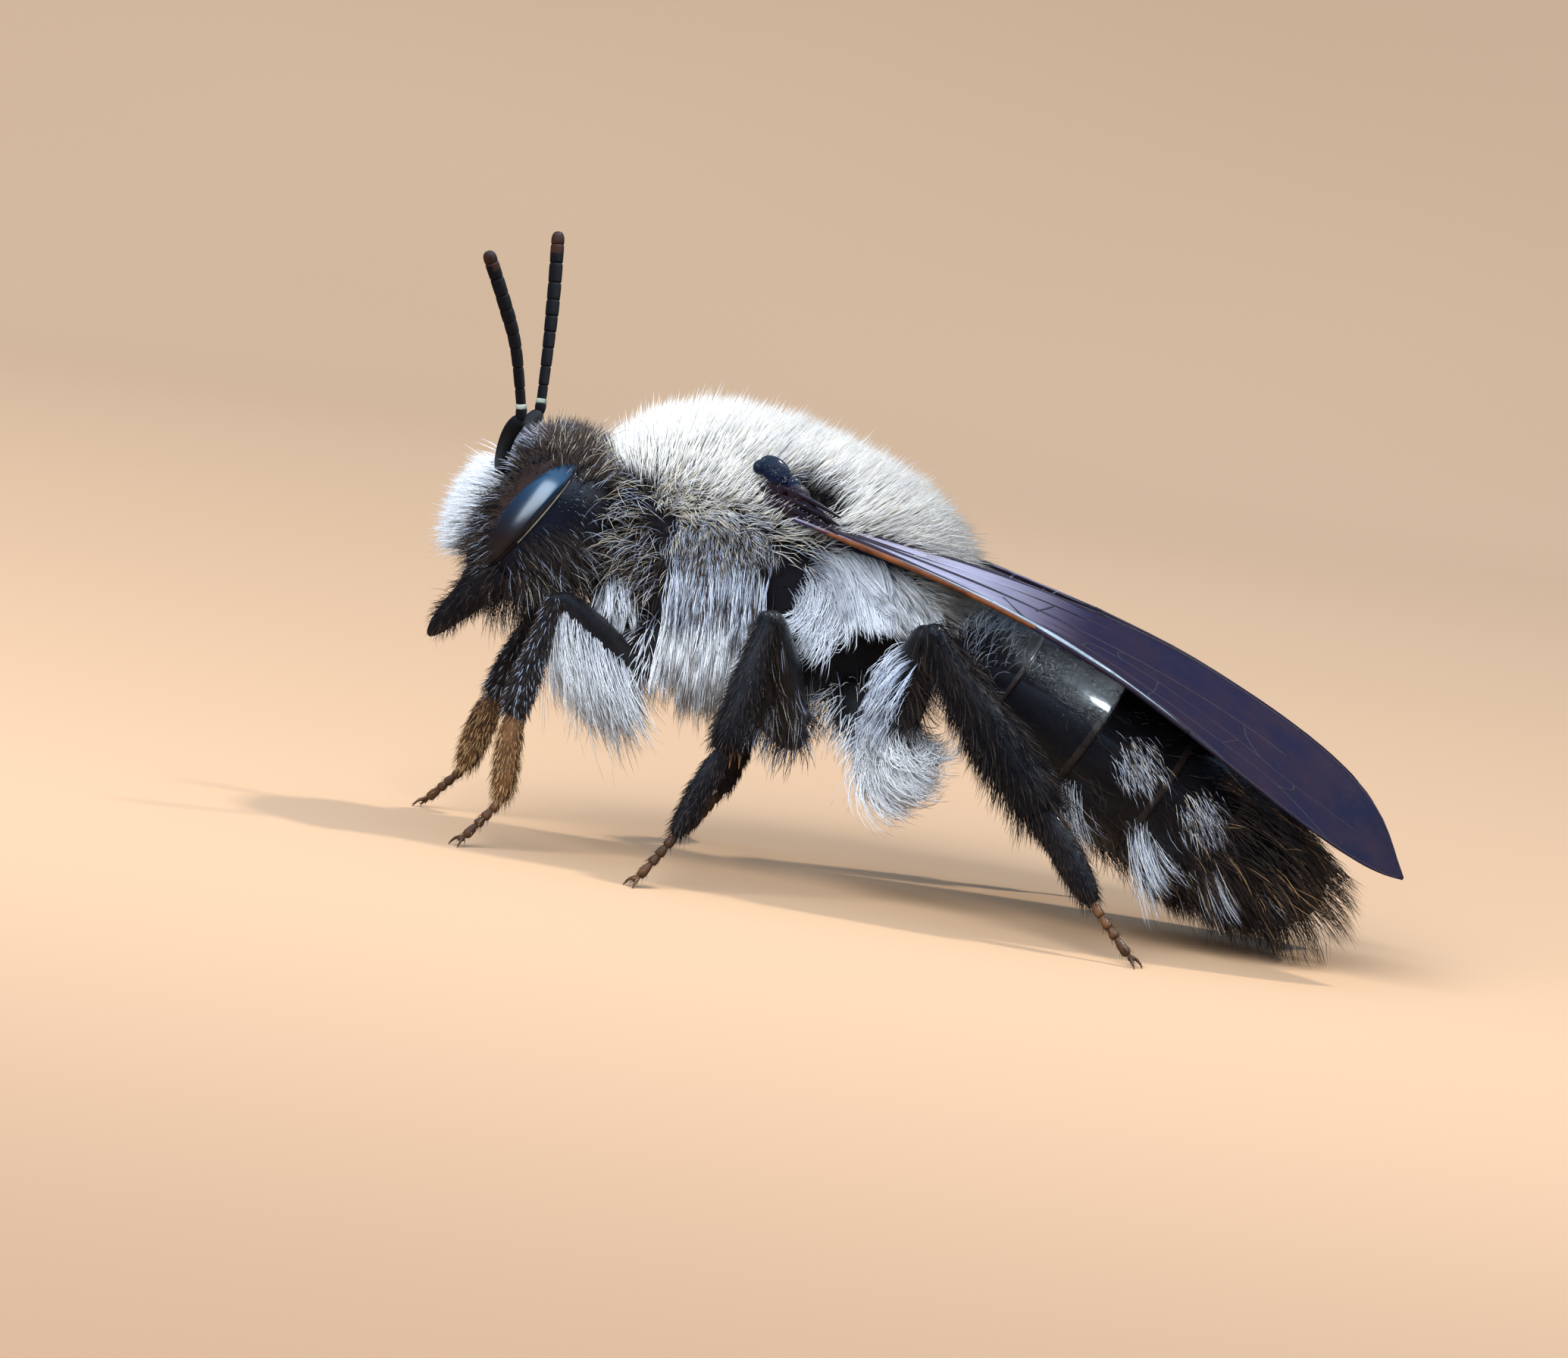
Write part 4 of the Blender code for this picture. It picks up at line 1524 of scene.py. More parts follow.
# A vein is its finish, its radii at both ends, and its path: shares of the length and of the width.
FOREWING = WingPlan(
    "forewing", root=(-2.0, 2.02, 5.55), tip=(7.6, 2.4, 1.66), bow=0.64, slope=11.0, sag=0.45, twist=14.0,
    edges=((0.0, 0.28, 0.28), (0.08, 0.32, 0.4), (0.2, 0.42, 0.85), (0.35, 0.55, 1.55), (0.5, 0.66, 2.02),
           (0.65, 0.7, 2.2), (0.78, 0.64, 2.12), (0.86, 0.52, 1.9), (0.91, 0.4, 1.6), (0.95, 0.26, 1.04),
           (0.98, 0.08, 0.5), (1.0, -0.08, 0.14)),
    veins=(
        ("costa", 0.02, 0.062, ((0.03, 0.065), (0.06, 0.045), (0.1, 0.03))),
        ("costa", 0.062, 0.045, ((0.1, 0.03), (0.2, 0.018), (0.3, 0.015), (0.37, 0.013))),
        ("dark", 0.045, 0.045, ((0.36, 0.013), (0.5, 0.012), (0.56, 0.012), (0.63, 0.012))),
        ("dark", 0.04, 0.014, ((0.63, 0.012), (0.75, 0.01), (0.88, 0.01), (0.96, 0.02), (0.992, 0.1))),
        # the pale tubes are a painted highlight along the front edge, not veins
        ("pale", 0.02, 0.075, ((0.07, 0.18), (0.13, 0.135), (0.2, 0.11), (0.3, 0.085))),
        ("pale", 0.075, 0.055, ((0.3, 0.085), (0.4, 0.07), (0.5, 0.058))),
        ("pale", 0.055, 0.01, ((0.49, 0.059), (0.56, 0.052), (0.63, 0.045))),
        ("dark", 0.06, 0.035, ((0.0, 0.4), (0.12, 0.27), (0.3, 0.14), (0.45, 0.1), (0.6, 0.075))),
        ("dark", 0.05, 0.03, ((0.56, 0.07), (0.6, 0.06), (0.65, 0.045), (0.69, 0.02))),
        ("dark", 0.05, 0.022, ((0.0, 0.6), (0.15, 0.5), (0.31, 0.44), (0.5, 0.5), (0.66, 0.58), (0.78, 0.6))),
        ("dark", 0.03, 0.022, ((0.36, 0.1), (0.335, 0.22), (0.31, 0.36))),
        ("dark", 0.026, 0.018, ((0.355, 0.14), (0.44, 0.22), (0.56, 0.2), (0.68, 0.2), (0.78, 0.2),
                                (0.88, 0.02))),
        ("dark", 0.026, 0.014, ((0.44, 0.22), (0.46, 0.34), (0.56, 0.37), (0.7, 0.36), (0.8, 0.34),
                                (0.92, 0.42))),
        ("dark", 0.02, 0.02, ((0.56, 0.05), (0.555, 0.13), (0.56, 0.2), (0.56, 0.37))),
        ("dark", 0.02, 0.02, ((0.68, 0.2), (0.69, 0.28), (0.7, 0.36))),
        ("dark", 0.02, 0.02, ((0.78, 0.2), (0.8, 0.27), (0.8, 0.34))),
        ("dark", 0.024, 0.018, ((0.5, 0.35), (0.49, 0.43), (0.5, 0.5))),
        ("dark", 0.024, 0.018, ((0.74, 0.35), (0.71, 0.46), (0.7, 0.59))),
        ("dark", 0.04, 0.018, ((0.0, 0.7), (0.15, 0.68), (0.35, 0.74), (0.47, 0.8))),
        ("dark", 0.024, 0.02, ((0.36, 0.4), (0.37, 0.57), (0.38, 0.75))),
        ("dark", 0.05, 0.045, ((0.0, 0.93), (0.1, 0.985), (0.25, 0.99), (0.45, 0.992))),
        ("dark", 0.045, 0.014, ((0.44, 0.992), (0.6, 0.992), (0.8, 0.988), (0.92, 0.985), (0.99, 0.92))),
    ),
)
HINDWING = WingPlan(
    "hindwing", root=(-1.45, 1.5, 5.3), tip=(4.9, 0.5, 3.3), bow=0.48, slope=11.0,
    edges=((0.0, 0.4, 0.15), (0.15, 0.6, 0.25), (0.3, 0.8, 0.4), (0.45, 0.9, 0.75), (0.7, 0.9, 0.62),
           (0.9, 0.6, 0.45), (1.0, 0.3, 0.3)),
    veins=(
        ("dark", 0.05, 0.03, ((0.0, 0.2), (0.2, 0.06), (0.45, 0.03), (0.7, 0.02), (0.95, 0.03))),
        ("dark", 0.04, 0.016, ((0.0, 0.45), (0.25, 0.4), (0.5, 0.38), (0.75, 0.42), (0.9, 0.46))),
        ("dark", 0.03, 0.014, ((0.0, 0.7), (0.25, 0.66), (0.45, 0.72))),
        ("dark", 0.022, 0.02, ((0.5, 0.04), (0.48, 0.2), (0.5, 0.38))),
        ("dark", 0.022, 0.02, ((0.27, 0.4), (0.28, 0.55), (0.27, 0.67))),
    ),
)


@dataclass
class Wing:
    """One wing: a thin sheet on the middle surface of its solid, with its veins."""

    bench: Bench
    plan: WingPlan
    side: str

    def __post_init__(self) -> None:
        """Works out the wing's axes and reads its outline."""
        sign = SIDES[self.side]
        root, tip = mirrored((self.plan.root, self.plan.tip), sign)
        slope = math.radians(self.plan.slope)
        self.sign = sign
        self.axis = Axis(root, tip, Vector((0, sign * math.sin(slope), math.cos(slope))))
        self.outline = np.array(self.plan.edges)

    def point(self, share: float, back: float, rise: float = 0.0) -> Vector:
        """A place on the wing.

        Args:
            share: of the length, from the root.
            back: of the width, from the leading edge.
            rise: over the sheet.

        Returns:
            The place.
        """
        lead = smooth_between(self.outline[:, 0], self.outline[:, 1], share)
        trail = smooth_between(self.outline[:, 0], self.outline[:, 2], share)
        x = lead - back * (lead + trail)
        steeper = math.radians(self.plan.twist) * max(0.0, (share - 0.4) / 0.6) ** 1.2
        bow = self.plan.bow * math.sin(math.pi * share) * (1.0 - self.plan.sag * share**2.5)
        height = bow - x * math.sin(steeper) + self.folds(share, back) + rise
        return self.axis.point(share, self.sign * x * math.cos(steeper), height)

    def folds(self, share: float, back: float) -> float:
        """The low pleats that run out from the root and stiffen the sheet."""
        depth = 0.016 * math.sin(math.pi * min(share * 1.15 + 0.08, 1.0))
        return depth * (math.cos(TURN * 2.0 * back**0.7) * (1.0 - 0.55 * back) - 0.4)

    def build(self) -> None:
        """Makes the sheet and the veins."""
        self._sheet()
        self._veins()

    def _sheet(self) -> None:
        """The thin skin, drawn from a flat grid."""
        along, across = (56, 26) if self.plan is FOREWING else (34, 18)
        bm = bmesh.new()
        bmesh.ops.create_grid(bm, x_segments=along, y_segments=across, size=0.5)
        spread = bm.loops.layers.uv.new("wing")
        for face in bm.faces:
            for loop in face.loops:
                loop[spread].uv = (loop.vert.co.x + 0.5, loop.vert.co.y + 0.5)
        for vert in bm.verts:
            share = 1.0 - (1.0 - (vert.co.x + 0.5)) ** 1.35
            vert.co = self.point(share, vert.co.y + 0.5)
        name = self.plan.name
        piece = self.bench.piece(
            f"{name}_sheet_{self.side}", bm, [WING_MEMBRANE], [f"{name}_{self.side}"], closed=False)
        self.bench.solidify(piece, 0.018)

    def _veins(self) -> None:
        """The veins, as fine tubes that lie in the sheet, and pale tubes behind the front edge that are a
        painted highlight.
        """
        # pale: the painted highlight behind the front edge
        finishes = {"dark": 0, "costa": 1, "pale": 2}
        bm = bmesh.new()
        for kind, first, last, path in self.plan.veins:
            start = len(bm.faces)
            places = [self.point(share, back) for share, back in path]
            count = 4 * len(places)
            radii = [first + (last - first) * k / count for k in range(count + 1)]
            stations = tuple((k / count, radius, 0.8 * radius) for k, radius in enumerate(radii))
            Limb(tuple(places), stations, upper=self.axis.up, sides=8).add_to(bm)
            bm.faces.ensure_lookup_table()
            for face in bm.faces[start:]:
                face.material_index = finishes[kind]
        self.bench.piece(f"{self.plan.name}_veins_{self.side}", bm, [VEIN_SHELL, COSTA_SHELL, PAINTED_GLINT_SHELL])


def smooth_between(places: Array, values: Array, share: float) -> float:
    """The value at a share of a smooth curve through the given values.

    Args:
        places: where the values stand, rising.
        values: the values.
        share: where the curve is read.

    Returns:
        The value there.
    """
    k = int(np.clip(np.searchsorted(places, share) - 1, 0, len(places) - 2))
    slopes = np.gradient(values, places)
    width = places[k + 1] - places[k]
    t = min(max((share - places[k]) / width, 0.0), 1.0)
    h00, h10 = 2 * t**3 - 3 * t**2 + 1, t**3 - 2 * t**2 + t
    h01, h11 = -2 * t**3 + 3 * t**2, t**3 - t**2
    return float(
        h00 * values[k] + h10 * width * slopes[k] + h01 * values[k + 1] + h11 * width * slopes[k + 1])


# ---- abdomen


@dataclass
class Abdomen:
    """Six plates, each sliding out from under the one before it."""

    bench: Bench
    form: Form = field(default_factory=lambda: Form(
        plane_axis((0.35, 4.15), (6.66, 0.84), (0.46, 0.88)),
        up=Arch(1.14, 0.5, 3.0), down=Arch(1.28, 0.44, 2.5), side=Arch(2.24, 0.45, 2.7), squareness=2.15,
    ))
    shares: tuple[float, ...] = (0.0, 0.19, 0.385, 0.57, 0.73, 0.87, 1.0)
    tuck: float = 0.045  # how far each plate starts under the last one, as a share
    step: float = 0.075  # how much lower it starts there
    pieces: list[Object] = field(default_factory=list)

    def build(self) -> None:
        """Makes the plates."""
        count = len(self.shares) - 1
        for index, (front, rear) in enumerate(zip(self.shares, self.shares[1:])):
            first, last = index == 0, index == count - 1
            bm = self._plate(0.03 if first else front - self.tuck, 0.985 if last else rear, first, last)
            name = f"abdomen_plate_{index + 1}"
            self.pieces.append(self.bench.piece(
                name, bm, [RING_SHELL, RING_MARGIN], [f"abdomen_segment_{index + 1}"], levels=1))

    def _plate(self, start: float, stop: float, first: bool, last: bool) -> BMesh:
        """One plate: it swells out from under the last one and ends in a thin turned-in rim.

        Args:
            start: where it starts along the abdomen.
            stop: where its rim is.
            first: whether it is the first plate, whose front is rounded.
            last: whether it is the last plate, whose rear is a tip.

        Returns:
            The mesh.
        """
        profile = ((0.0, -1.0), (0.12, -0.8), (0.25, -0.5), (0.42, -0.22), (0.62, -0.05), (0.8, 0.0),
                   (0.93, -0.02), (0.99, -0.12), (1.0, -0.42))
        rings = []
        for t, depth in profile:
            swell = 0.0 if first and t < 0.7 else self.step * depth
            rings.append(self._section(start + t * (stop - start), swell))
        front = self.form.axis.point(start - 0.02) if first else None
        rear = self.form.axis.point(1.0) if last else None
        bm = loft(rings, front, rear)
        rim = self.form.axis.point(stop - 0.1 * (stop - start))
        for face in bm.faces:
            behind = (face.calc_center_median() - rim).dot(self.form.axis.along) > 0
            face.material_index = 1 if behind and not last else 0
        return bm

    def _section(self, share: float, swell: float) -> list[Vector]:
        """A section with the edge of the back plate standing a little over the belly plate on each side."""
        sides = 48
        points = []
        for k in range(sides):
            turn = TURN * (k + 0.5) / sides
            below = max(0.0, -math.sin(turn) - 0.32)
            ledge = -0.05 * min(below / 0.08, 1.0)
            points.append(self.form.point(share, turn, swell + ledge))
        return points


# ---- legs


LEG_JOINTS: dict[str, tuple[Point, ...]] = {  # from the body to the claws: X, from the middle plane, Z
    "front_left": ((-3.7, 0.75, 3.55), (-3.95, 1.1, 2.8), (-5.3, 1.75, 3.82), (-5.66, 1.95, 2.0),
                   (-5.64, 2.05, 0.72), (-6.1, 2.3, 0.12)),
    "front_right": ((-3.7, 0.75, 3.55), (-4.0, 1.1, 2.8), (-5.55, 1.75, 3.6), (-6.15, 1.95, 1.9),
                    (-6.45, 2.05, 0.7), (-6.95, 2.25, 0.12)),
    "middle_left": ((-2.1, 0.8, 2.8), (-1.5, 1.45, 2.2), (-2.15, 2.75, 4.12), (-2.5, 3.35, 2.1),
                    (-3.0, 3.75, 0.8), (-3.45, 4.0, 0.12)),
    "middle_right": ((-2.1, 0.8, 2.8), (-1.5, 1.45, 2.2), (-2.0, 2.75, 4.12), (-2.15, 3.35, 2.1),
                     (-2.5, 3.75, 0.8), (-2.9, 4.05, 0.12)),
    "hind_left": ((-0.9, 0.8, 3.0), (-0.1, 1.4, 2.2), (0.15, 2.7, 4.25), (2.2, 3.45, 1.95),
                  (3.1, 3.9, 0.8), (3.75, 4.2, 0.12)),
    "hind_right": ((-0.9, 0.8, 3.0), (-0.1, 1.4, 2.2), (0.0, 2.7, 4.25), (1.9, 3.5, 1.95),
                   (2.75, 3.95, 0.8), (3.4, 4.25, 0.12)),
}
LEG_PARTS = ("coxa", "femur", "tibia", "basitarsus", "foot")


# Each part's stations, in shares of the part's girth.
LEG_STATIONS: dict[str, Stations] = {
    "coxa": ((0.0, 0.8, 0.8), (0.3, 1.0, 1.0), (0.7, 0.8, 0.75), (1.0, 0.5, 0.5)),
    "femur": ((0.0, 0.62, 0.62), (0.1, 0.74, 0.74), (0.15, 0.6, 0.6), (0.24, 0.86, 0.95), (0.5, 1.0, 1.1),
              (0.8, 0.8, 0.85), (0.97, 0.58, 0.62)),
    "tibia": ((0.0, 0.5, 0.55), (0.06, 0.62, 0.68), (0.14, 0.55, 0.6), (0.45, 0.8, 0.9), (0.8, 0.95, 1.05),
              (0.96, 0.85, 0.95), (1.0, 0.5, 0.55)),
    "basitarsus": ((0.0, 0.4, 0.45), (0.08, 0.7, 0.8), (0.35, 0.85, 1.1), (0.75, 0.8, 1.0), (0.97, 0.5, 0.6)),
}
LEG_GIRTHS = {  # the half thicknesses of the four parts, in millimetres
    "front": (0.36, 0.25, 0.21, 0.22),
    "middle": (0.38, 0.32, 0.28, 0.19),
    "hind": (0.42, 0.35, 0.36, 0.23),
}
TOE_GIRTH = 0.085


@dataclass
class Leg:
    """One leg: hip, thigh, shin with its spur, heel, and a foot of four joints with two claws."""

    bench: Bench
    name: str
    pieces: dict[str, Object] = field(default_factory=dict)
    axes: dict[str, Axis] = field(default_factory=dict)

    def __post_init__(self) -> None:
        """Reads the leg's joints and girths."""
        pair, side = self.name.split("_")
        self.sign = SIDES[side]
        self.girths = LEG_GIRTHS[pair]
        self.joints = mirrored(LEG_JOINTS[self.name], self.sign)

    def build(self) -> None:
        """Makes the five pieces and the spur."""
        amber = self.name.startswith("front")
        for index, (kind, stations) in enumerate(LEG_STATIONS.items()):
            girth = self.girths[index]
            finish = TARSUS_SHELL if kind == "basitarsus" and amber else LIMB_SHELL
            sized = tuple((share, width * girth, depth * girth) for share, width, depth in stations)
            self._part(kind, self.joints[index:index + 2], sized, finish)
        knee, ankle, instep, claw = self.joints[2:]
        self._foot(instep, claw)
        self._spur(ankle, knee)

    def _part(self, kind: str, ends: Sequence[Vector], stations: Stations, finish: Finish) -> None:
        """One straight part of the leg, bowed a little upwards.

        Args:
            kind: one of LEG_PARTS.
            ends: the two joints that it lies between.
            stations: its half widths and half depths.
            finish: its finish.
        """
        start, end = ends
        middle = start.lerp(end, 0.5) + Vector((0, 0, 0.03))
        limb = Limb((start, middle, end), stations, sides=14)
        self.axes[kind] = limb.axis
        self.pieces[kind] = self.bench.piece(
            f"shell_{self.name}_{kind}", limb.loft(), [finish], [f"leg_{self.name}_{kind}"], levels=2)

    def _foot(self, instep: Vector, claw: Vector) -> None:
        """Four short joints that widen forwards, the last with two claws and the pad between them.

        Args:
            instep: where the foot starts.
            claw: where it ends.
        """
        bm = bmesh.new()
        toe = TOE_GIRTH
        knots = [instep.lerp(claw, share) for share in (0.0, 0.24, 0.45, 0.63, 0.93)]
        for index, (start, end) in enumerate(zip(knots, knots[1:])):
            flare = 1.0 if index == 3 else 1.2
            Limb((start, start.lerp(end, 0.5), end), (
                (0.0, 0.5 * toe, 0.5 * toe), (0.2, 0.75 * toe, 0.7 * toe), (0.8, flare * toe, toe),
                (0.97, 0.7 * toe, 0.7 * toe)), sides=10).add_to(bm)
        ahead = (claw - instep).normalized()
        ahead.z *= 0.35
        beside = Vector((-ahead.y, ahead.x, 0)).normalized()
        end = knots[-1]
        for side in (-1.0, 1.0):
            hook = (end, end + 0.1 * ahead + side * 0.09 * beside + Vector((0, 0, 0.03)),
                    end + 0.24 * ahead + side * 0.15 * beside - Vector((0, 0, 0.04)),
                    end + 0.27 * ahead + side * 0.15 * beside - Vector((0, 0, 0.12)))
            Limb(hook, ((0.0, 0.035, 0.035), (0.5, 0.028, 0.028), (0.95, 0.01, 0.01)), sides=8).add_to(bm)
        pad = end + 0.09 * ahead
        add_ball(bm, Vector((pad.x, pad.y, max(pad.z - 0.02, 0.05))), (0.06, 0.06, 0.045), None, 12)
        for vert in bm.verts:
            vert.co.z = max(vert.co.z, 0.0)
        axis = Axis(instep, claw, Vector((0.02, 0.01, 1.0)))
        self.axes["foot"] = axis
        self.pieces["foot"] = self.bench.piece(
            f"shell_{self.name}_foot", bm, [TARSUS_SHELL], [f"leg_{self.name}_foot"], levels=1)

    def _spur(self, ankle: Vector, knee: Vector) -> None:
        """The amber spur, or pair of spurs, on the inner end of the shin.

        Args:
            ankle: the shin's lower end.
            knee: its upper end.
        """
        shin = (ankle - knee).normalized()
        inwards = Vector((0.75, -0.25 * self.sign, 0.0))
        start = ankle - 0.1 * shin + 0.1 * inwards
        bm = bmesh.new()
        for spread in ((0.0,) if self.name.startswith("front") else (-0.07, 0.07)):
            shift = Vector((spread, spread, 0))
            path = (start, start + 0.13 * shin + 0.16 * inwards + shift,
                    start + 0.36 * shin + 0.2 * inwards + shift)
            Limb(path, ((0.0, 0.035, 0.035), (0.4, 0.04, 0.03), (0.97, 0.008, 0.008)), sides=8).add_to(bm)
        self.bench.piece(f"spur_{self.name}", bm, [SPUR_SHELL], levels=1)


# ---- coat by zone


WHITE_MIX = ((CHALK, 0.9), (CREAM, 0.1))
BUFF_MIX = ((CREAM, 0.6), (CHALK, 0.15), (ASH, 0.25))

TEGULA_HOLE = Region((-1.9, 1.5, 5.8), (0.9, 0.6, 0.55), 0.3)
SCALE_HOLE = Region((-2.62, 1.72, 5.95), (0.44, 0.5, 0.42), 0.3)
WING_BED = Region((-0.3, 2.1, 5.0), (1.6, 1.0, 1.1), 0.25)
WING_ROOT_HOLE = Region((-1.45, 2.0, 5.55), (0.9, 0.6, 0.3))
WING_HOLES = (TEGULA_HOLE, SCALE_HOLE, WING_ROOT_HOLE, WING_BED)

HEAD_ZONES = (
    Zone("vertex", 3400, 0.3, ((UMBER, 0.91), (ASH, 0.03), (CREAM, 0.06)), lay=(-0.1, 0.0, 0.5), wild=0.25,
         arc=0.35, bend=(0.3, 0.0, -0.4), facing=(0.3, 0.0, 1.0), least=0.55, shares=(0.0, 0.2), width=0.011,
         rings=2),
    Zone("velvet", 3000, 0.13, ((UMBER, 0.7), (JET, 0.3)), lay=(-0.2, 0.1, 0.5), stand=0.9,
         inside=(Region((-5.75, 1.25, 5.75), (0.8, 0.65, 0.5)), Region((-6.35, 1.42, 5.1), (0.4, 0.4, 0.9))),
         width=0.012, rings=2),
    Zone("brow", 900, 0.3, ((ASH, 0.3), (UMBER, 0.65), (SNOW, 0.05)), lay=(-0.5, 0.0, 0.1), stand=0.7,
         wild=0.25, facing=(-1.0, 0.0, 0.6), least=0.6, shares=(0.08, 0.36),
         inside=(Region((-6.0, 0.0, 5.6), (1.2, 1.3, 0.9)),), width=0.012),
    Zone("face", 2900, 0.52, ((SNOW, 0.95), (ASH, 0.05)), lay=(-0.7, 0.0, 0.1), stand=0.6,
         facing=(-1.0, 0.0, 0.45), least=0.4, inside=(Region((-6.52, 0.0, 4.88), (0.86, 1.2, 0.84), 0.5),),
         width=0.015),
    Zone("face_side", 1500, 0.34, ((UMBER, 0.6), (JET, 0.3), (ASH, 0.1)), lay=(-0.6, 0.1, -0.3), stand=0.6,
         wild=0.25, inside=(Region((-6.45, 1.2, 4.5), (0.6, 0.52, 0.9)),), width=0.012, rings=2),
    Zone("gena_down", 1100, 0.2, ((UMBER, 0.8), (ASH, 0.1), (JET, 0.1)), lay=(0.8, 0.1, -0.6), stand=0.25,
         wild=0.1, bend=(0.2, 0.0, -1.0), inside=(Region((-5.5, 1.7, 4.4), (0.9, 0.9, 0.6), 0.5),),
         width=0.006, rings=2),
    Zone("cheek", 420, 0.5, ((ASH, 0.12), (CREAM, 0.06), (UMBER, 0.82)), lay=(0.95, 0.1, -0.3), stand=0.12,
         wild=0.07, arc=0.7, bend=(0.2, 0.0, -1.0),
         inside=(Region((-5.4, 1.7, 4.35), (0.95, 0.9, 0.62), 0.5),), facing=(0.2, 1.0, -0.2), least=0.3,
         width=0.0055, rings=4),
    Zone("jowl", 700, 0.42, ((UMBER, 0.72), (CREAM, 0.06), (JET, 0.22)), lay=(0.6, 0.15, -0.6), stand=0.3,
         wild=0.18, arc=0.6, inside=(Region((-5.7, 1.5, 3.85), (0.8, 0.8, 0.35), 0.5),), width=0.008),
    Zone("temple", 160, 0.14, ((UMBER, 0.6), (ASH, 0.4)), lay=(0.6, 0.1, -0.2), stand=0.3,
         inside=(Region((-4.95, 1.6, 5.2), (0.7, 0.8, 0.7), 0.5),), width=0.006, rings=2),
    Zone("nape", 300, 0.6, ((CREAM, 0.6), (ASH, 0.3), (UMBER, 0.1)), lay=(0.0, 0.3, 0.7), stand=0.6, arc=0.8,
         bend=(0.7, 0.1, -0.4), facing=(1.0, 0.0, 0.25), least=0.45, width=0.009, rings=4),
    Zone("beard", 900, 0.62, ((JET, 0.45), (UMBER, 0.45), (ASH, 0.1)), lay=(-0.1, 0.1, -1.0), stand=0.35,
         arc=0.5, bend=(0.8, 0.0, -0.2), facing=(0.1, 0.0, -1.0), least=0.35, width=0.01),
)

JAW_ZONES = (
    Zone("jaw_hair", 1300, 0.24, ((JET, 0.6), (UMBER, 0.4)), lay=(-0.35, 0.05, -0.6), stand=0.6, wild=0.3,
         arc=0.6, shares=(0.0, 0.82), width=0.009, rings=2),
)

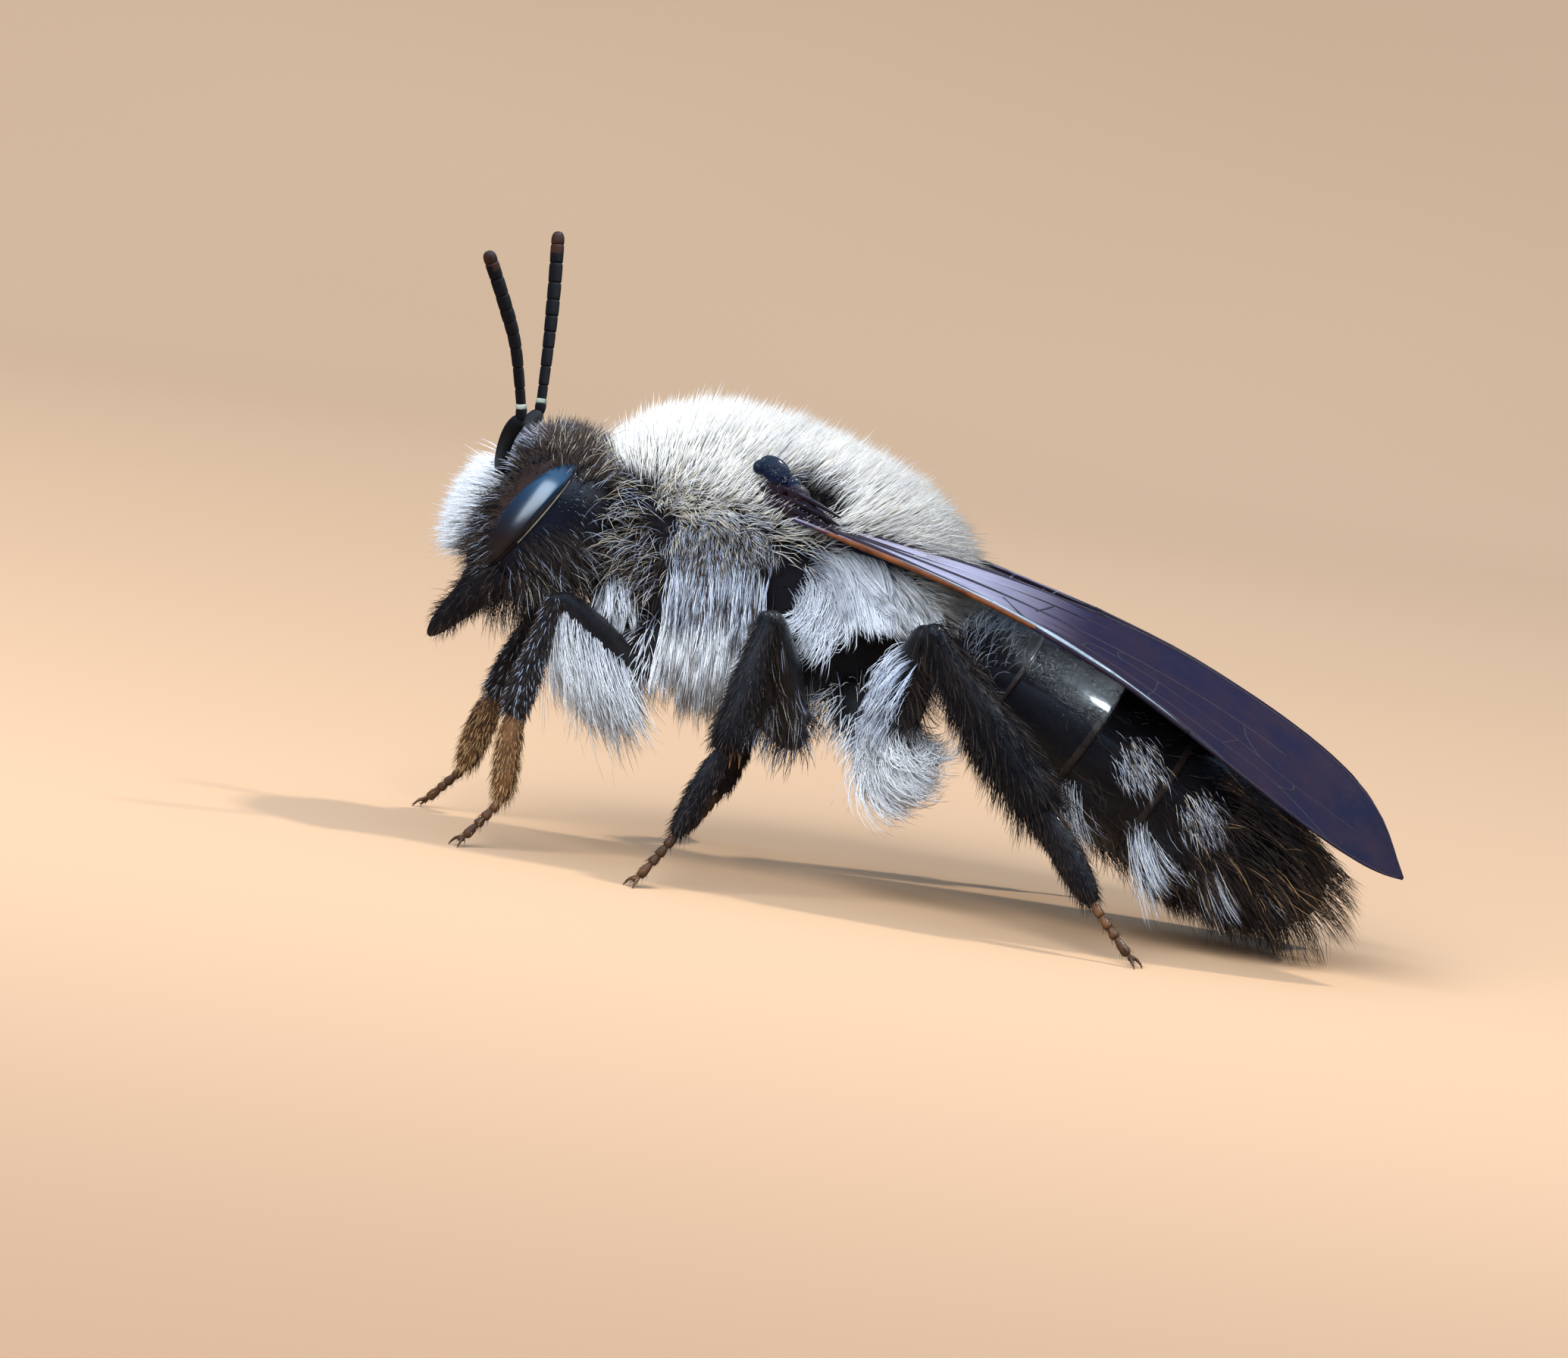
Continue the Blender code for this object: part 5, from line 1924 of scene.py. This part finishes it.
THORAX_ZONES = (
    Zone("back", 17000, 0.72, WHITE_MIX, lay=(0.2, 0.0, 0.25), wild=0.13, bend=(1.0, 0.0, -0.5),
         facing=(0.08, 0.0, 1.0), least=0.3, outside=WING_HOLES, shares=(0.0, 0.97), width=0.021, rings=2,
         spread=0.14, clump=0.22, clump_size=24),
    Zone("back_end", 2400, 0.85, WHITE_MIX, lay=(0.6, 0.1, 0.1), stand=0.8, arc=0.6, bend=(0.6, 0.0, -1.0),
         facing=(0.7, 0.0, 0.8), least=0.4, outside=(WING_BED,), shares=(0.75, 1.0), width=0.021, rings=2,
         clump=0.3),
    Zone("back_side", 2800, 0.58, ((CHALK, 0.45), (CREAM, 0.3), (ASH, 0.25)), lay=(0.3, 0.1, 0.1), stand=0.8,
         arc=0.7, bend=(0.8, 0.0, -0.8), facing=(0.0, 0.75, 0.65), least=0.82, shares=(0.05, 0.9),
         width=0.018, rings=2, outside=WING_HOLES, clump=0.4),
    Zone("collar", 800, 0.6, ((CREAM, 0.3), (ASH, 0.35), (UMBER, 0.35)), lay=(-0.35, 0.2, 0.4), stand=0.6,
         wild=0.3, arc=0.9, bend=(0.2, 0.2, -1.0), facing=(-1.0, 0.0, 0.25), least=0.3, shares=(0.0, 0.2),
         rings=4, width=0.012),
    Zone("throat", 1000, 0.42, ((UMBER, 0.68), (ASH, 0.18), (CREAM, 0.14)), lay=(-0.3, 0.3, 0.0), stand=0.7,
         wild=0.35, arc=0.9, bend=(0.2, 0.1, -1.0),
         inside=(Region((-4.15, 1.2, 4.5), (0.6, 1.1, 0.75), 0.4),), width=0.010),
    Zone("shoulder", 1500, 0.48, BUFF_MIX, lay=(0.25, 0.3, 0.5), stand=0.8, wild=0.35, arc=0.9,
         bend=(0.6, 0.2, -0.6), inside=(Region((-3.6, 1.6, 5.5), (0.65, 0.7, 0.4)),), width=0.015, clump=0.5),
    Zone("scale_tuft", 900, 0.38, BUFF_MIX, lay=(0.1, 0.3, 0.5), stand=0.8, wild=0.4, arc=0.9,
         inside=(Region((-3.05, 1.75, 5.8), (0.4, 0.6, 0.36)),), width=0.014, clump=0.5),
    Zone("scale_ring", 900, 0.4, ((JET, 0.6), (UMBER, 0.4)), lay=(0.0, 0.4, 0.3), wild=0.4, arc=0.5,
         inside=(SCALE_HOLE,), width=0.013, rings=2),
    Zone("scale_bristles", 1300, 0.26, ((JET, 0.8), (UMBER, 0.2)), lay=(0.3, 0.4, 0.3), stand=0.9, wild=0.35,
         inside=(Region((-1.85, 1.55, 5.8), (0.85, 0.6, 0.5)),), width=0.012, rings=2),
    Zone("wool", 3900, 0.38, ((CREAM, 0.18), (ASH, 0.32), (UMBER, 0.5)), lay=(0.1, 0.2, -0.2), stand=0.9,
         wild=0.35, arc=1.2, bend=(0.3, 0.0, -1.0), inside=(Region((-3.05, 1.8, 4.98), (0.95, 0.8, 0.5)),),
         width=0.010, clump=0.4, clump_size=18),
    Zone("drape_top", 2600, 0.85, ((FROST, 0.3), (ASH, 0.32), (UMBER, 0.38)), lay=(0.05, 0.3, -1.0),
         stand=0.5, wild=0.14, arc=0.6, bend=(0.1, 0.0, -1.0), wave=0.03, clump=0.6, clump_size=18,
         inside=(Region((-3.0, 1.8, 4.5), (0.85, 0.9, 0.55), 0.4),), facing=(0.0, 1.0, 0.0), least=0.2,
         width=0.014, rings=4),
    Zone("drape", 3100, 1.25, ((FROST, 0.2), (SNOW, 0.76), (JET, 0.04)), lay=(0.04, 0.12, -1.0), stand=0.4,
         wild=0.09, arc=0.5, bend=(0.1, -0.35, -1.0), wave=0.03, clump=0.65, clump_size=20,
         inside=(Region((-3.0, 1.6, 3.9), (0.78, 1.2, 0.6), 0.4),), facing=(0.0, 1.0, -0.1), least=0.1,
         width=0.014, rings=4),
    Zone("drape_end", 1200, 0.85, ((FROST, 0.5), (SNOW, 0.3), (CREAM, 0.2)), lay=(0.0, 0.05, -1.0),
         stand=0.45, wild=0.13, bend=(0.1, -0.3, -1.0), clump=0.5,
         inside=(Region((-2.95, 1.1, 3.2), (0.65, 0.9, 0.5), 0.4),), width=0.012),
    Zone("basket", 1500, 1.1, ((FROST, 1.0),), lay=(0.95, 0.25, -0.1), stand=0.35, wild=0.05, arc=1.3,
         bend=(0.0, 0.1, -1.0), sway=0.08, clump=0.8, clump_size=26,
         inside=(Region((-1.3, 1.6, 4.85), (0.55, 1.1, 0.45), 0.4),), facing=(0.3, 1.0, 0.0), least=0.2,
         width=0.015, rings=6),
    Zone("basket_locks", 1150, 1.0, ((SNOW, 0.6), (FROST, 0.4)), lay=(0.8, 0.25, -0.5), stand=0.35, wild=0.07,
         arc=0.7, bend=(0.0, 0.1, -1.0), clump=0.65, clump_size=24,
         inside=(Region((-0.55, 1.6, 4.75), (0.45, 1.1, 0.4), 0.4),), facing=(0.3, 1.0, 0.0), least=0.2,
         width=0.016, rings=4),
    Zone("curls", 900, 0.95, ((FROST, 1.0),), lay=(0.75, 0.3, -0.5), stand=0.4, wild=0.08, arc=2.4,
         bend=(-0.6, 0.1, -1.0), inside=(Region((-1.5, 1.5, 4.45), (0.5, 1.0, 0.5), 0.4),),
         facing=(0.2, 1.0, 0.0), least=0.15, width=0.013, rings=6, clump=0.7, clump_size=22),
    Zone("belly", 800, 0.7, ((ASH, 0.35), (UMBER, 0.65)), lay=(0.2, 0.1, -1.0), stand=0.6, wild=0.25, arc=0.5,
         facing=(0.0, 0.0, -1.0), least=0.45, width=0.010),
)

RUFF_ZONES = (
    Zone("ruff", 1700, 0.4, ((UMBER, 0.78), (ASH, 0.13), (CREAM, 0.09)), lay=(-0.2, 0.3, 0.2), stand=0.8,
         wild=0.3, arc=0.9, bend=(0.1, 0.1, -1.0), width=0.008),
    Zone("ruff_strands", 160, 0.75, ((CREAM, 0.5), (SNOW, 0.5)), lay=(-0.1, 0.6, 0.5), stand=0.5, wild=0.3,
         arc=1.6, bend=(0.8, 0.1, -0.7), width=0.011, rings=5),
)

CHEST_ZONES = (
    Zone("chest_tuft", 420, 0.8, ((SNOW, 0.3), (FROST, 0.6), (UMBER, 0.1)), lay=(0.7, 0.6, 0.2), stand=0.8,
         wild=0.1, arc=2.0, bend=(-0.1, -0.1, -1.0), inside=(Region((-4.55, 0.95, 3.95), (0.3, 0.6, 0.3)),),
         width=0.018, rings=5, clump=0.85),
    Zone("chest_down", 500, 0.4, ((ASH, 0.2), (UMBER, 0.8)), lay=(-0.1, 0.2, 0.2), stand=0.7, wild=0.3,
         arc=0.9, width=0.010),
)

ABDOMEN_ZONES = (
    Zone("first_ring", 1000, 0.5, ((ASH, 0.65), (SNOW, 0.15), (UMBER, 0.2)), lay=(0.2, 0.1, 0.6), stand=0.8,
         wild=0.3, arc=1.0, bend=(1.0, 0.1, -0.3), wave=0.04, shares=(0.0, 0.15), facing=(-0.4, 0.2, 1.0),
         least=-0.3, width=0.010, rings=4),
    Zone("rear_down", 900, 0.26, ((JET, 0.5), (UMBER, 0.5)), lay=(0.8, 0.0, -0.2), stand=0.3, arc=0.3,
         facing=(0.0, 0.2, 1.0), shares=(0.42, 0.95), width=0.010, rings=2),
    Zone("back_down", 1000, 0.16, ((JET, 0.5), (UMBER, 0.5)), lay=(0.8, 0.0, -0.1), stand=0.35, wild=0.25,
         facing=(0.0, 0.0, 1.0), least=0.2, shares=(0.15, 0.9), width=0.008, rings=2),
    Zone("side_bands", 1800, 0.34, ((SNOW, 0.15), (CREAM, 0.15), (ASH, 0.42), (UMBER, 0.28)),
         lay=(0.5, 0.2, -0.7), stand=0.22, wild=0.14, arc=0.3,
         inside=(Region((3.5, 2.1, 2.85), (0.5, 0.75, 0.58), 0.95),
                 Region((4.5, 1.9, 2.15), (0.5, 0.75, 0.52), 0.95)), width=0.010, rings=2),
    Zone("fringe", 620, 1.1, ((SNOW, 0.4), (ASH, 0.35), (UMBER, 0.25)), lay=(0.2, 0.3, -0.9), stand=0.3,
         wild=0.1, arc=0.7, bend=(0.9, -0.1, -0.4), clump=0.6, clump_size=12,
         inside=(Region((2.6, 1.8, 2.15), (0.2, 0.8, 0.35), 0.6),
                 Region((3.75, 1.7, 1.75), (0.28, 0.8, 0.4), 0.6)), width=0.010, rings=5),
    Zone("rear_fringe", 420, 0.85, ((CREAM, 0.12), (ASH, 0.22), (UMBER, 0.66)), lay=(0.35, 0.3, -0.8),
         stand=0.3, wild=0.12, arc=0.7, bend=(0.9, -0.1, -0.4), clump=0.7, clump_size=10,
         inside=(Region((4.85, 1.4, 1.35), (0.36, 0.8, 0.4), 0.8),), width=0.009, rings=5),
    # the gold hairs here are painted light: brown hairs lit at their tips
    Zone("tail_fringe", 900, 0.85, ((UMBER, 0.75), (JET, 0.15), (GOLD, 0.1)), lay=(0.8, 0.1, -0.6), stand=0.4,
         wild=0.14, arc=0.5, bend=(0.4, 0.0, -1.0), clump=0.6, clump_size=16, facing=(0.7, 0.3, -0.6),
         least=0.1, inside=(Region((6.2, 0.6, 1.3), (1.1, 1.5, 1.0), 0.3),), width=0.011),
    Zone("flank", 1400, 0.4, ((JET, 0.7), (UMBER, 0.3)), lay=(0.6, 0.25, -0.5), stand=0.4, wild=0.25, arc=0.6,
         facing=(0.0, 1.0, -0.5), least=0.2, shares=(0.3, 0.9), width=0.010),
    Zone("belly_brush", 1400, 0.55, ((UMBER, 0.6), (ASH, 0.15), (JET, 0.25)), lay=(0.6, 0.0, -0.6), stand=0.4,
         arc=0.6, bend=(1.0, 0.0, 0.2), facing=(0.0, 0.0, -1.0), least=0.3, shares=(0.2, 0.92), width=0.010),
    # the gold hairs here are painted light: brown hairs lit at their tips
    Zone("tail_brush", 3300, 0.62, ((UMBER, 0.72), (JET, 0.22), (GOLD, 0.06)), lay=(0.9, 0.1, -0.45),
         stand=0.3, wild=0.13, arc=0.5, bend=(0.3, 0.0, -1.0), shares=(0.62, 0.95), facing=(0.1, 1.0, -0.5),
         least=-0.25, width=0.011, clump=0.45, clump_size=18),
)


@dataclass
class Coat:
    """The hairs of the whole bee, region by region."""

    bench: Bench
    head: Head
    thorax: Thorax
    abdomen: Abdomen
    legs: Sequence[Leg]

    def build(self) -> None:
        """Grows and joins every region of the coat."""
        head, thorax = self.head, self.thorax
        self._body("coat_head", [Scalp(head.pieces["capsule"], head.form.axis)], HEAD_ZONES, 11)
        jaws = [Scalp(head.pieces[name], axis, (column, 0), (2, 1))
                for column, (name, axis) in enumerate(head.jaw_axes.items())]
        self._body("coat_jaws", jaws, JAW_ZONES, 16)
        self._body("coat_thorax", [Scalp(thorax.pieces["trunk"], thorax.form.axis)], THORAX_ZONES, 12)
        self._body("coat_ruff", [Scalp(thorax.pieces["collar"], thorax.form.axis)], RUFF_ZONES, 17)
        self._body("coat_chest", [Scalp(thorax.pieces["chest"], thorax.chest)], CHEST_ZONES, 15)
        rings = [Scalp(piece, self.abdomen.form.axis) for piece in self.abdomen.pieces]
        self._body("coat_abdomen", rings, ABDOMEN_ZONES, 13)
        self._legs()

    def _body(self, name: str, scalps: Sequence[Scalp], zones: Sequence[Zone], seed: int) -> None:
        """One region of the coat.

        Args:
            name: what its pieces' names start with.
            scalps: the skins.
            zones: how the hairs grow.
            seed: of the random draws.
        """
        groomer = Groomer(self.bench, seed)
        groomer.grow(scalps, zones)
        groomer.join(name)

    def _legs(self) -> None:
        """The hair of the legs, part by part, with a cell of the unwrap for each part."""
        groomer = Groomer(self.bench, 14)
        cells = (len(LEG_PARTS), len(self.legs))
        for row, leg in enumerate(self.legs):
            pair = leg.name.split("_")[0]
            for column, part in enumerate(LEG_PARTS):
                scalp = Scalp(leg.pieces[part], leg.axes[part], (column, row), cells)
                groomer.grow([scalp], leg_zones(pair, part))
        groomer.join("coat_legs")


def leg_zones(pair: str, part: str) -> tuple[Zone, ...]:
    """The zones of one part of one pair of legs.

    Args:
        pair: front, middle or hind.
        part: one of LEG_PARTS.

    Returns:
        The zones.
    """
    down = Zone("down", 700, 0.14, ((UMBER, 0.5), (JET, 0.5)), along=0.9, stand=0.5, wild=0.15, arc=0.3,
                width=0.011, rings=2)
    if part == "coxa":
        furs = ((SNOW, 0.7), (ASH, 0.3)) if pair != "middle" else ((ASH, 0.4), (UMBER, 0.6))
        tuft = Zone("hip_tuft", 300, 0.5, furs, lay=(0.0, 0.3, -0.5), stand=0.7, wild=0.25, arc=0.8,
                    width=0.015)
        return (tuft,)
    if part == "femur":
        short = replace(down, hairs=400, length=0.1, width=0.009)
        fringe = Zone("fringe", 1200, 1.15, ((SNOW, 0.65), (FROST, 0.35)), lay=(0.15, 0.1, -0.9), stand=0.35,
                      wild=0.13, arc=0.5, bend=(0.7, 0.0, -0.3), facing=(0.1, 0.0, -1.0), least=0.1,
                      shares=(0.1, 0.92), clump=0.5, width=0.014, rings=5)
        if pair == "front":
            return short, replace(fringe, wild=0.15, spread=0.3, clump=0.55, clump_size=12, width=0.013,
                                  furs=((SNOW, 0.78), (FROST, 0.15), (UMBER, 0.07)))
        if pair == "middle":
            furs = ((CREAM, 0.1), (ASH, 0.1), (UMBER, 0.8))
            return short, replace(fringe, hairs=260, length=0.55, furs=furs, width=0.009, rings=3)
        floccus = Zone("floccus", 1000, 1.15, ((SNOW, 0.8), (FROST, 0.2)), lay=(-0.75, 0.35, -0.75),
                       stand=0.3, wild=0.05, arc=2.9, bend=(1.0, 0.1, -0.6), facing=(-0.3, 0.3, -1.0),
                       least=-0.2, shares=(0.0, 0.34), clump=0.6, clump_size=30, width=0.018, rings=6)
        lock = Zone("forelock", 420, 0.6, ((FROST, 0.5), (ASH, 0.5)), lay=(-0.7, 0.3, -0.5), stand=0.5,
                    wild=0.15, arc=1.2, bend=(0.3, 0.0, -1.0), facing=(-0.9, 0.4, 0.0), least=0.2,
                    shares=(0.1, 0.85), clump=0.6, width=0.014, rings=4)
        dark = replace(fringe, hairs=260, length=0.5, furs=((JET, 0.4), (UMBER, 0.6)), width=0.01, rings=3)
        return short, floccus, lock, dark
    if part == "tibia":
        if pair == "front":
            furs = ((UMBER, 0.85), (ASH, 0.15))
            return (replace(down, hairs=1400, length=0.17, furs=furs, stand=0.7, width=0.012),)
        if pair == "middle":
            return (replace(down, hairs=1100, length=0.22, stand=0.6),)
        return (Zone("scopa", 1900, 0.46, ((JET, 0.7), (UMBER, 0.3)), along=0.9, stand=0.55, wild=0.15,
                     arc=0.5, width=0.012),)
    if part == "basitarsus":
        furs = ((GOLD, 0.85), (UMBER, 0.15)) if pair == "front" else ((UMBER, 0.6), (JET, 0.4))
        return (replace(down, hairs=800, length=0.19, furs=furs, along=1.0),)
    furs = ((GOLD, 0.3), (UMBER, 0.7)) if pair == "front" else ((UMBER, 0.6), (JET, 0.4))
    return (replace(down, hairs=120, length=0.12, furs=furs, width=0.009),)


# ---- stage


@dataclass(frozen=True)
class Stage:
    """The plain pale floor, the soft light and the camera."""

    aim: Point = (-1.803, 0.0, 3.002)
    distance: float = 98.0
    lens: float = 150.0
    elevation: float = 4.5  # degrees above the floor
    roll: float = 9.0  # degrees by which the floor falls to the right

    def build(self, bench: Bench) -> None:
        """Makes the floor, the lights and the camera.

        Args:
            bench: where the bee was made.
        """
        bpy.context.scene.view_settings.view_transform = "Standard"
        self._floor()
        self._world()
        self._lights(bench.polished)
        self._camera(bench.offset)

    def _floor(self) -> None:
        """A pale floor that rises into a wide bowl, so that no edge shows, darker on the camera's side as
        painted shade against the fill light's pool.
        """
        bm = bmesh.new()
        flat, bowl = 0.14, 0.2  # the radii of the flat part and of the bowl's curve, in metres
        profile = [(0.002, 0.0), (flat, 0.0)]
        turns = np.linspace(0.15, 0.5 * math.pi, 10)
        profile += [(flat + bowl * math.sin(turn), bowl - bowl * math.cos(turn)) for turn in turns]
        profile += [(0.342, 0.3)]
        verts = [bm.verts.new((radius, 0.0, height)) for radius, height in profile]
        edges = [bm.edges.new(pair) for pair in zip(verts, verts[1:])]
        bmesh.ops.spin(
            bm, geom=verts + edges, cent=(0, 0, 0), axis=(0, 0, 1), angle=TURN, steps=72, use_merge=True)
        middle = [edge for edge in bm.edges if edge.is_boundary and edge.verts[0].co.z < 0.01]
        bmesh.ops.holes_fill(bm, edges=middle)
        bmesh.ops.recalc_face_normals(bm, faces=bm.faces)
        mesh = bpy.data.meshes.new("stage_floor")
        bm.to_mesh(mesh)
        bm.free()
        mesh.shade_smooth()
        material, graph, shader = blank_material("stage_floor")
        coordinate = graph.add("ShaderNodeTexCoord").outputs["Object"]
        noise = graph.noise(coordinate, 9.0, 2.0)
        tint = graph.mix(noise, (0.56, 0.335, 0.188), (0.666, 0.435, 0.262))
        # painted shade: the floor is darker on the camera's side, below the fill light
        depth = graph.add("ShaderNodeSeparateXYZ", Vector=coordinate).outputs["Y"]
        tint = graph.mix(graph.stretch(depth, -0.05, 0.0, 1.0, 0.0), tint, (0.33, 0.2, 0.12))
        graph.feed_all(shader, Base_Color=tint, Roughness=0.9, Specular_IOR_Level=0.1)
        mesh.materials.append(material)
        floor = bpy.data.objects.new("stage_floor", mesh)
        bpy.context.scene.collection.objects.link(floor)
        floor.visible_glossy = floor.visible_diffuse = floor.visible_shadow = False

    @staticmethod
    def _world() -> None:
        """A blue sky that is dark near the horizon, over warm ground."""
        world = bpy.data.worlds.new("sky")
        bpy.context.scene.world = world
        world.use_nodes = True
        graph = Graph(world.node_tree)
        direction = graph.add("ShaderNodeTexCoord").outputs["Generated"]
        height = graph.add("ShaderNodeSeparateXYZ", Vector=direction).outputs["Z"]
        low = graph.mix(graph.stretch(height, -0.5, 0.0), (0.13, 0.09, 0.06), (0.03, 0.027, 0.034))
        sky = graph.mix(graph.stretch(height, 0.3, 0.9), low, (0.40, 0.64, 1.0))
        graph.feed_all(world.node_tree.nodes["Background"], Color=sky, Strength=1.2)

    @staticmethod
    def _lights(polished: Sequence[Object]) -> None:
        """A warm sun from above the tail, a cool fill on each side, and two soft lights for the shell.

        Args:
            polished: the bare pieces of shell.
        """
        sun = bpy.data.lights.new("sun", "SUN")
        sun.energy, sun.angle, sun.color = 1.7, math.radians(5.0), (1.0, 0.965, 0.90)
        sunlight = place_light(sun, Vector((0.42, 0.12, 0.9)))
        for name, power, place in (("fill", 1.1, (-0.06, -0.17, 0.10)),
                                   ("back_fill", 0.5, (-0.07, 0.17, 0.05))):
            fill = bpy.data.lights.new(name, "AREA")
            fill.energy, fill.size, fill.color = power, 0.16, (0.84, 0.91, 1.0)
            filled = place_light(fill, Vector(place))
            filled.visible_glossy = False
        floor = bpy.data.objects["stage_floor"]
        filled.light_linking.receiver_collection = all_but("back_fill_shade", [floor])
        eyes = [piece for piece in polished if piece.name.startswith("eye")]
        shells = [piece for piece in polished if piece.name.endswith(("_1", "_2"))]
        for name, power, size, place, lit in (("window", 1.3, 0.25, (-0.121, -0.169, 0.153), eyes),
                                              ("gleam", 0.8, 0.05, (0.124, 0.023, 0.216), shells)):
            light = bpy.data.lights.new(name, "AREA")
            light.energy, light.size, light.color = power, size, (0.74, 0.88, 1.0)
            links = place_light(light, Vector(place)).light_linking
            links.receiver_collection = links.blocker_collection = grouped(f"{name}_shells", lit)
        sunlight.light_linking.receiver_collection = all_but("sun_shade", eyes)

    def _camera(self, offset: Vector) -> None:
        """The camera on the bee's left side, a little above the floor and rolled."""
        lean = math.radians(self.elevation)
        back = Vector((0.0, -math.cos(lean), math.sin(lean)))
        aim = Vector(self.aim) + offset
        up = Vector((0.0, math.sin(lean), math.cos(lean)))
        right = Vector((1.0, 0.0, 0.0))
        roll = Matrix.Rotation(math.radians(self.roll), 3, back)
        turn = roll @ Matrix((right, up, back)).transposed()
        camera = bpy.data.cameras.new("camera")
        camera.lens, camera.sensor_width = self.lens, 36.0
        camera.clip_start, camera.clip_end = 0.001, 10.0
        obj = bpy.data.objects.new("camera", camera)
        obj.matrix_world = Matrix.Translation((aim + self.distance * back) * MM) @ turn.to_4x4()
        bpy.context.scene.collection.objects.link(obj)
        bpy.context.scene.camera = obj


def grouped(name: str, objects: Iterable[Object]) -> Collection:
    """A new collection that holds the objects."""
    collection = bpy.data.collections.new(name)
    for obj in objects:
        collection.objects.link(obj)
    return collection


def all_but(name: str, objects: Iterable[Object]) -> Collection:
    """A new collection that lets a light fall on everything except the objects."""
    collection = grouped(name, objects)
    for entry in collection.collection_objects:
        entry.light_linking.link_state = "EXCLUDE"
    return collection


def place_light(light: Light, place: Vector) -> Object:
    """Puts a light at a place, turned towards the bee.

    Args:
        light: the light.
        place: where it stands, in metres.

    Returns:
        Its object.
    """
    obj = bpy.data.objects.new(light.name, light)
    obj.location = place
    obj.rotation_euler = (-place).to_track_quat("-Z", "Y").to_euler()
    bpy.context.scene.collection.objects.link(obj)
    return obj


# ---- main


def main() -> None:
    """Loads the frame, dresses the bee and sets its stage."""
    logging.basicConfig(level=logging.INFO, format="%(name)s: %(message)s")
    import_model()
    bench = Bench()
    head, thorax, abdomen = Head(bench), Thorax(bench), Abdomen(bench)
    legs = [Leg(bench, name) for name in LEG_JOINTS]
    wings = [Wing(bench, plan, side) for plan in (FOREWING, HINDWING) for side in SIDES]
    for part in (head, thorax, abdomen, *legs, *wings):
        part.build()
    Coat(bench, head, thorax, abdomen, legs).build()
    Stage().build(bench)


if __name__ == "__main__":
    main()
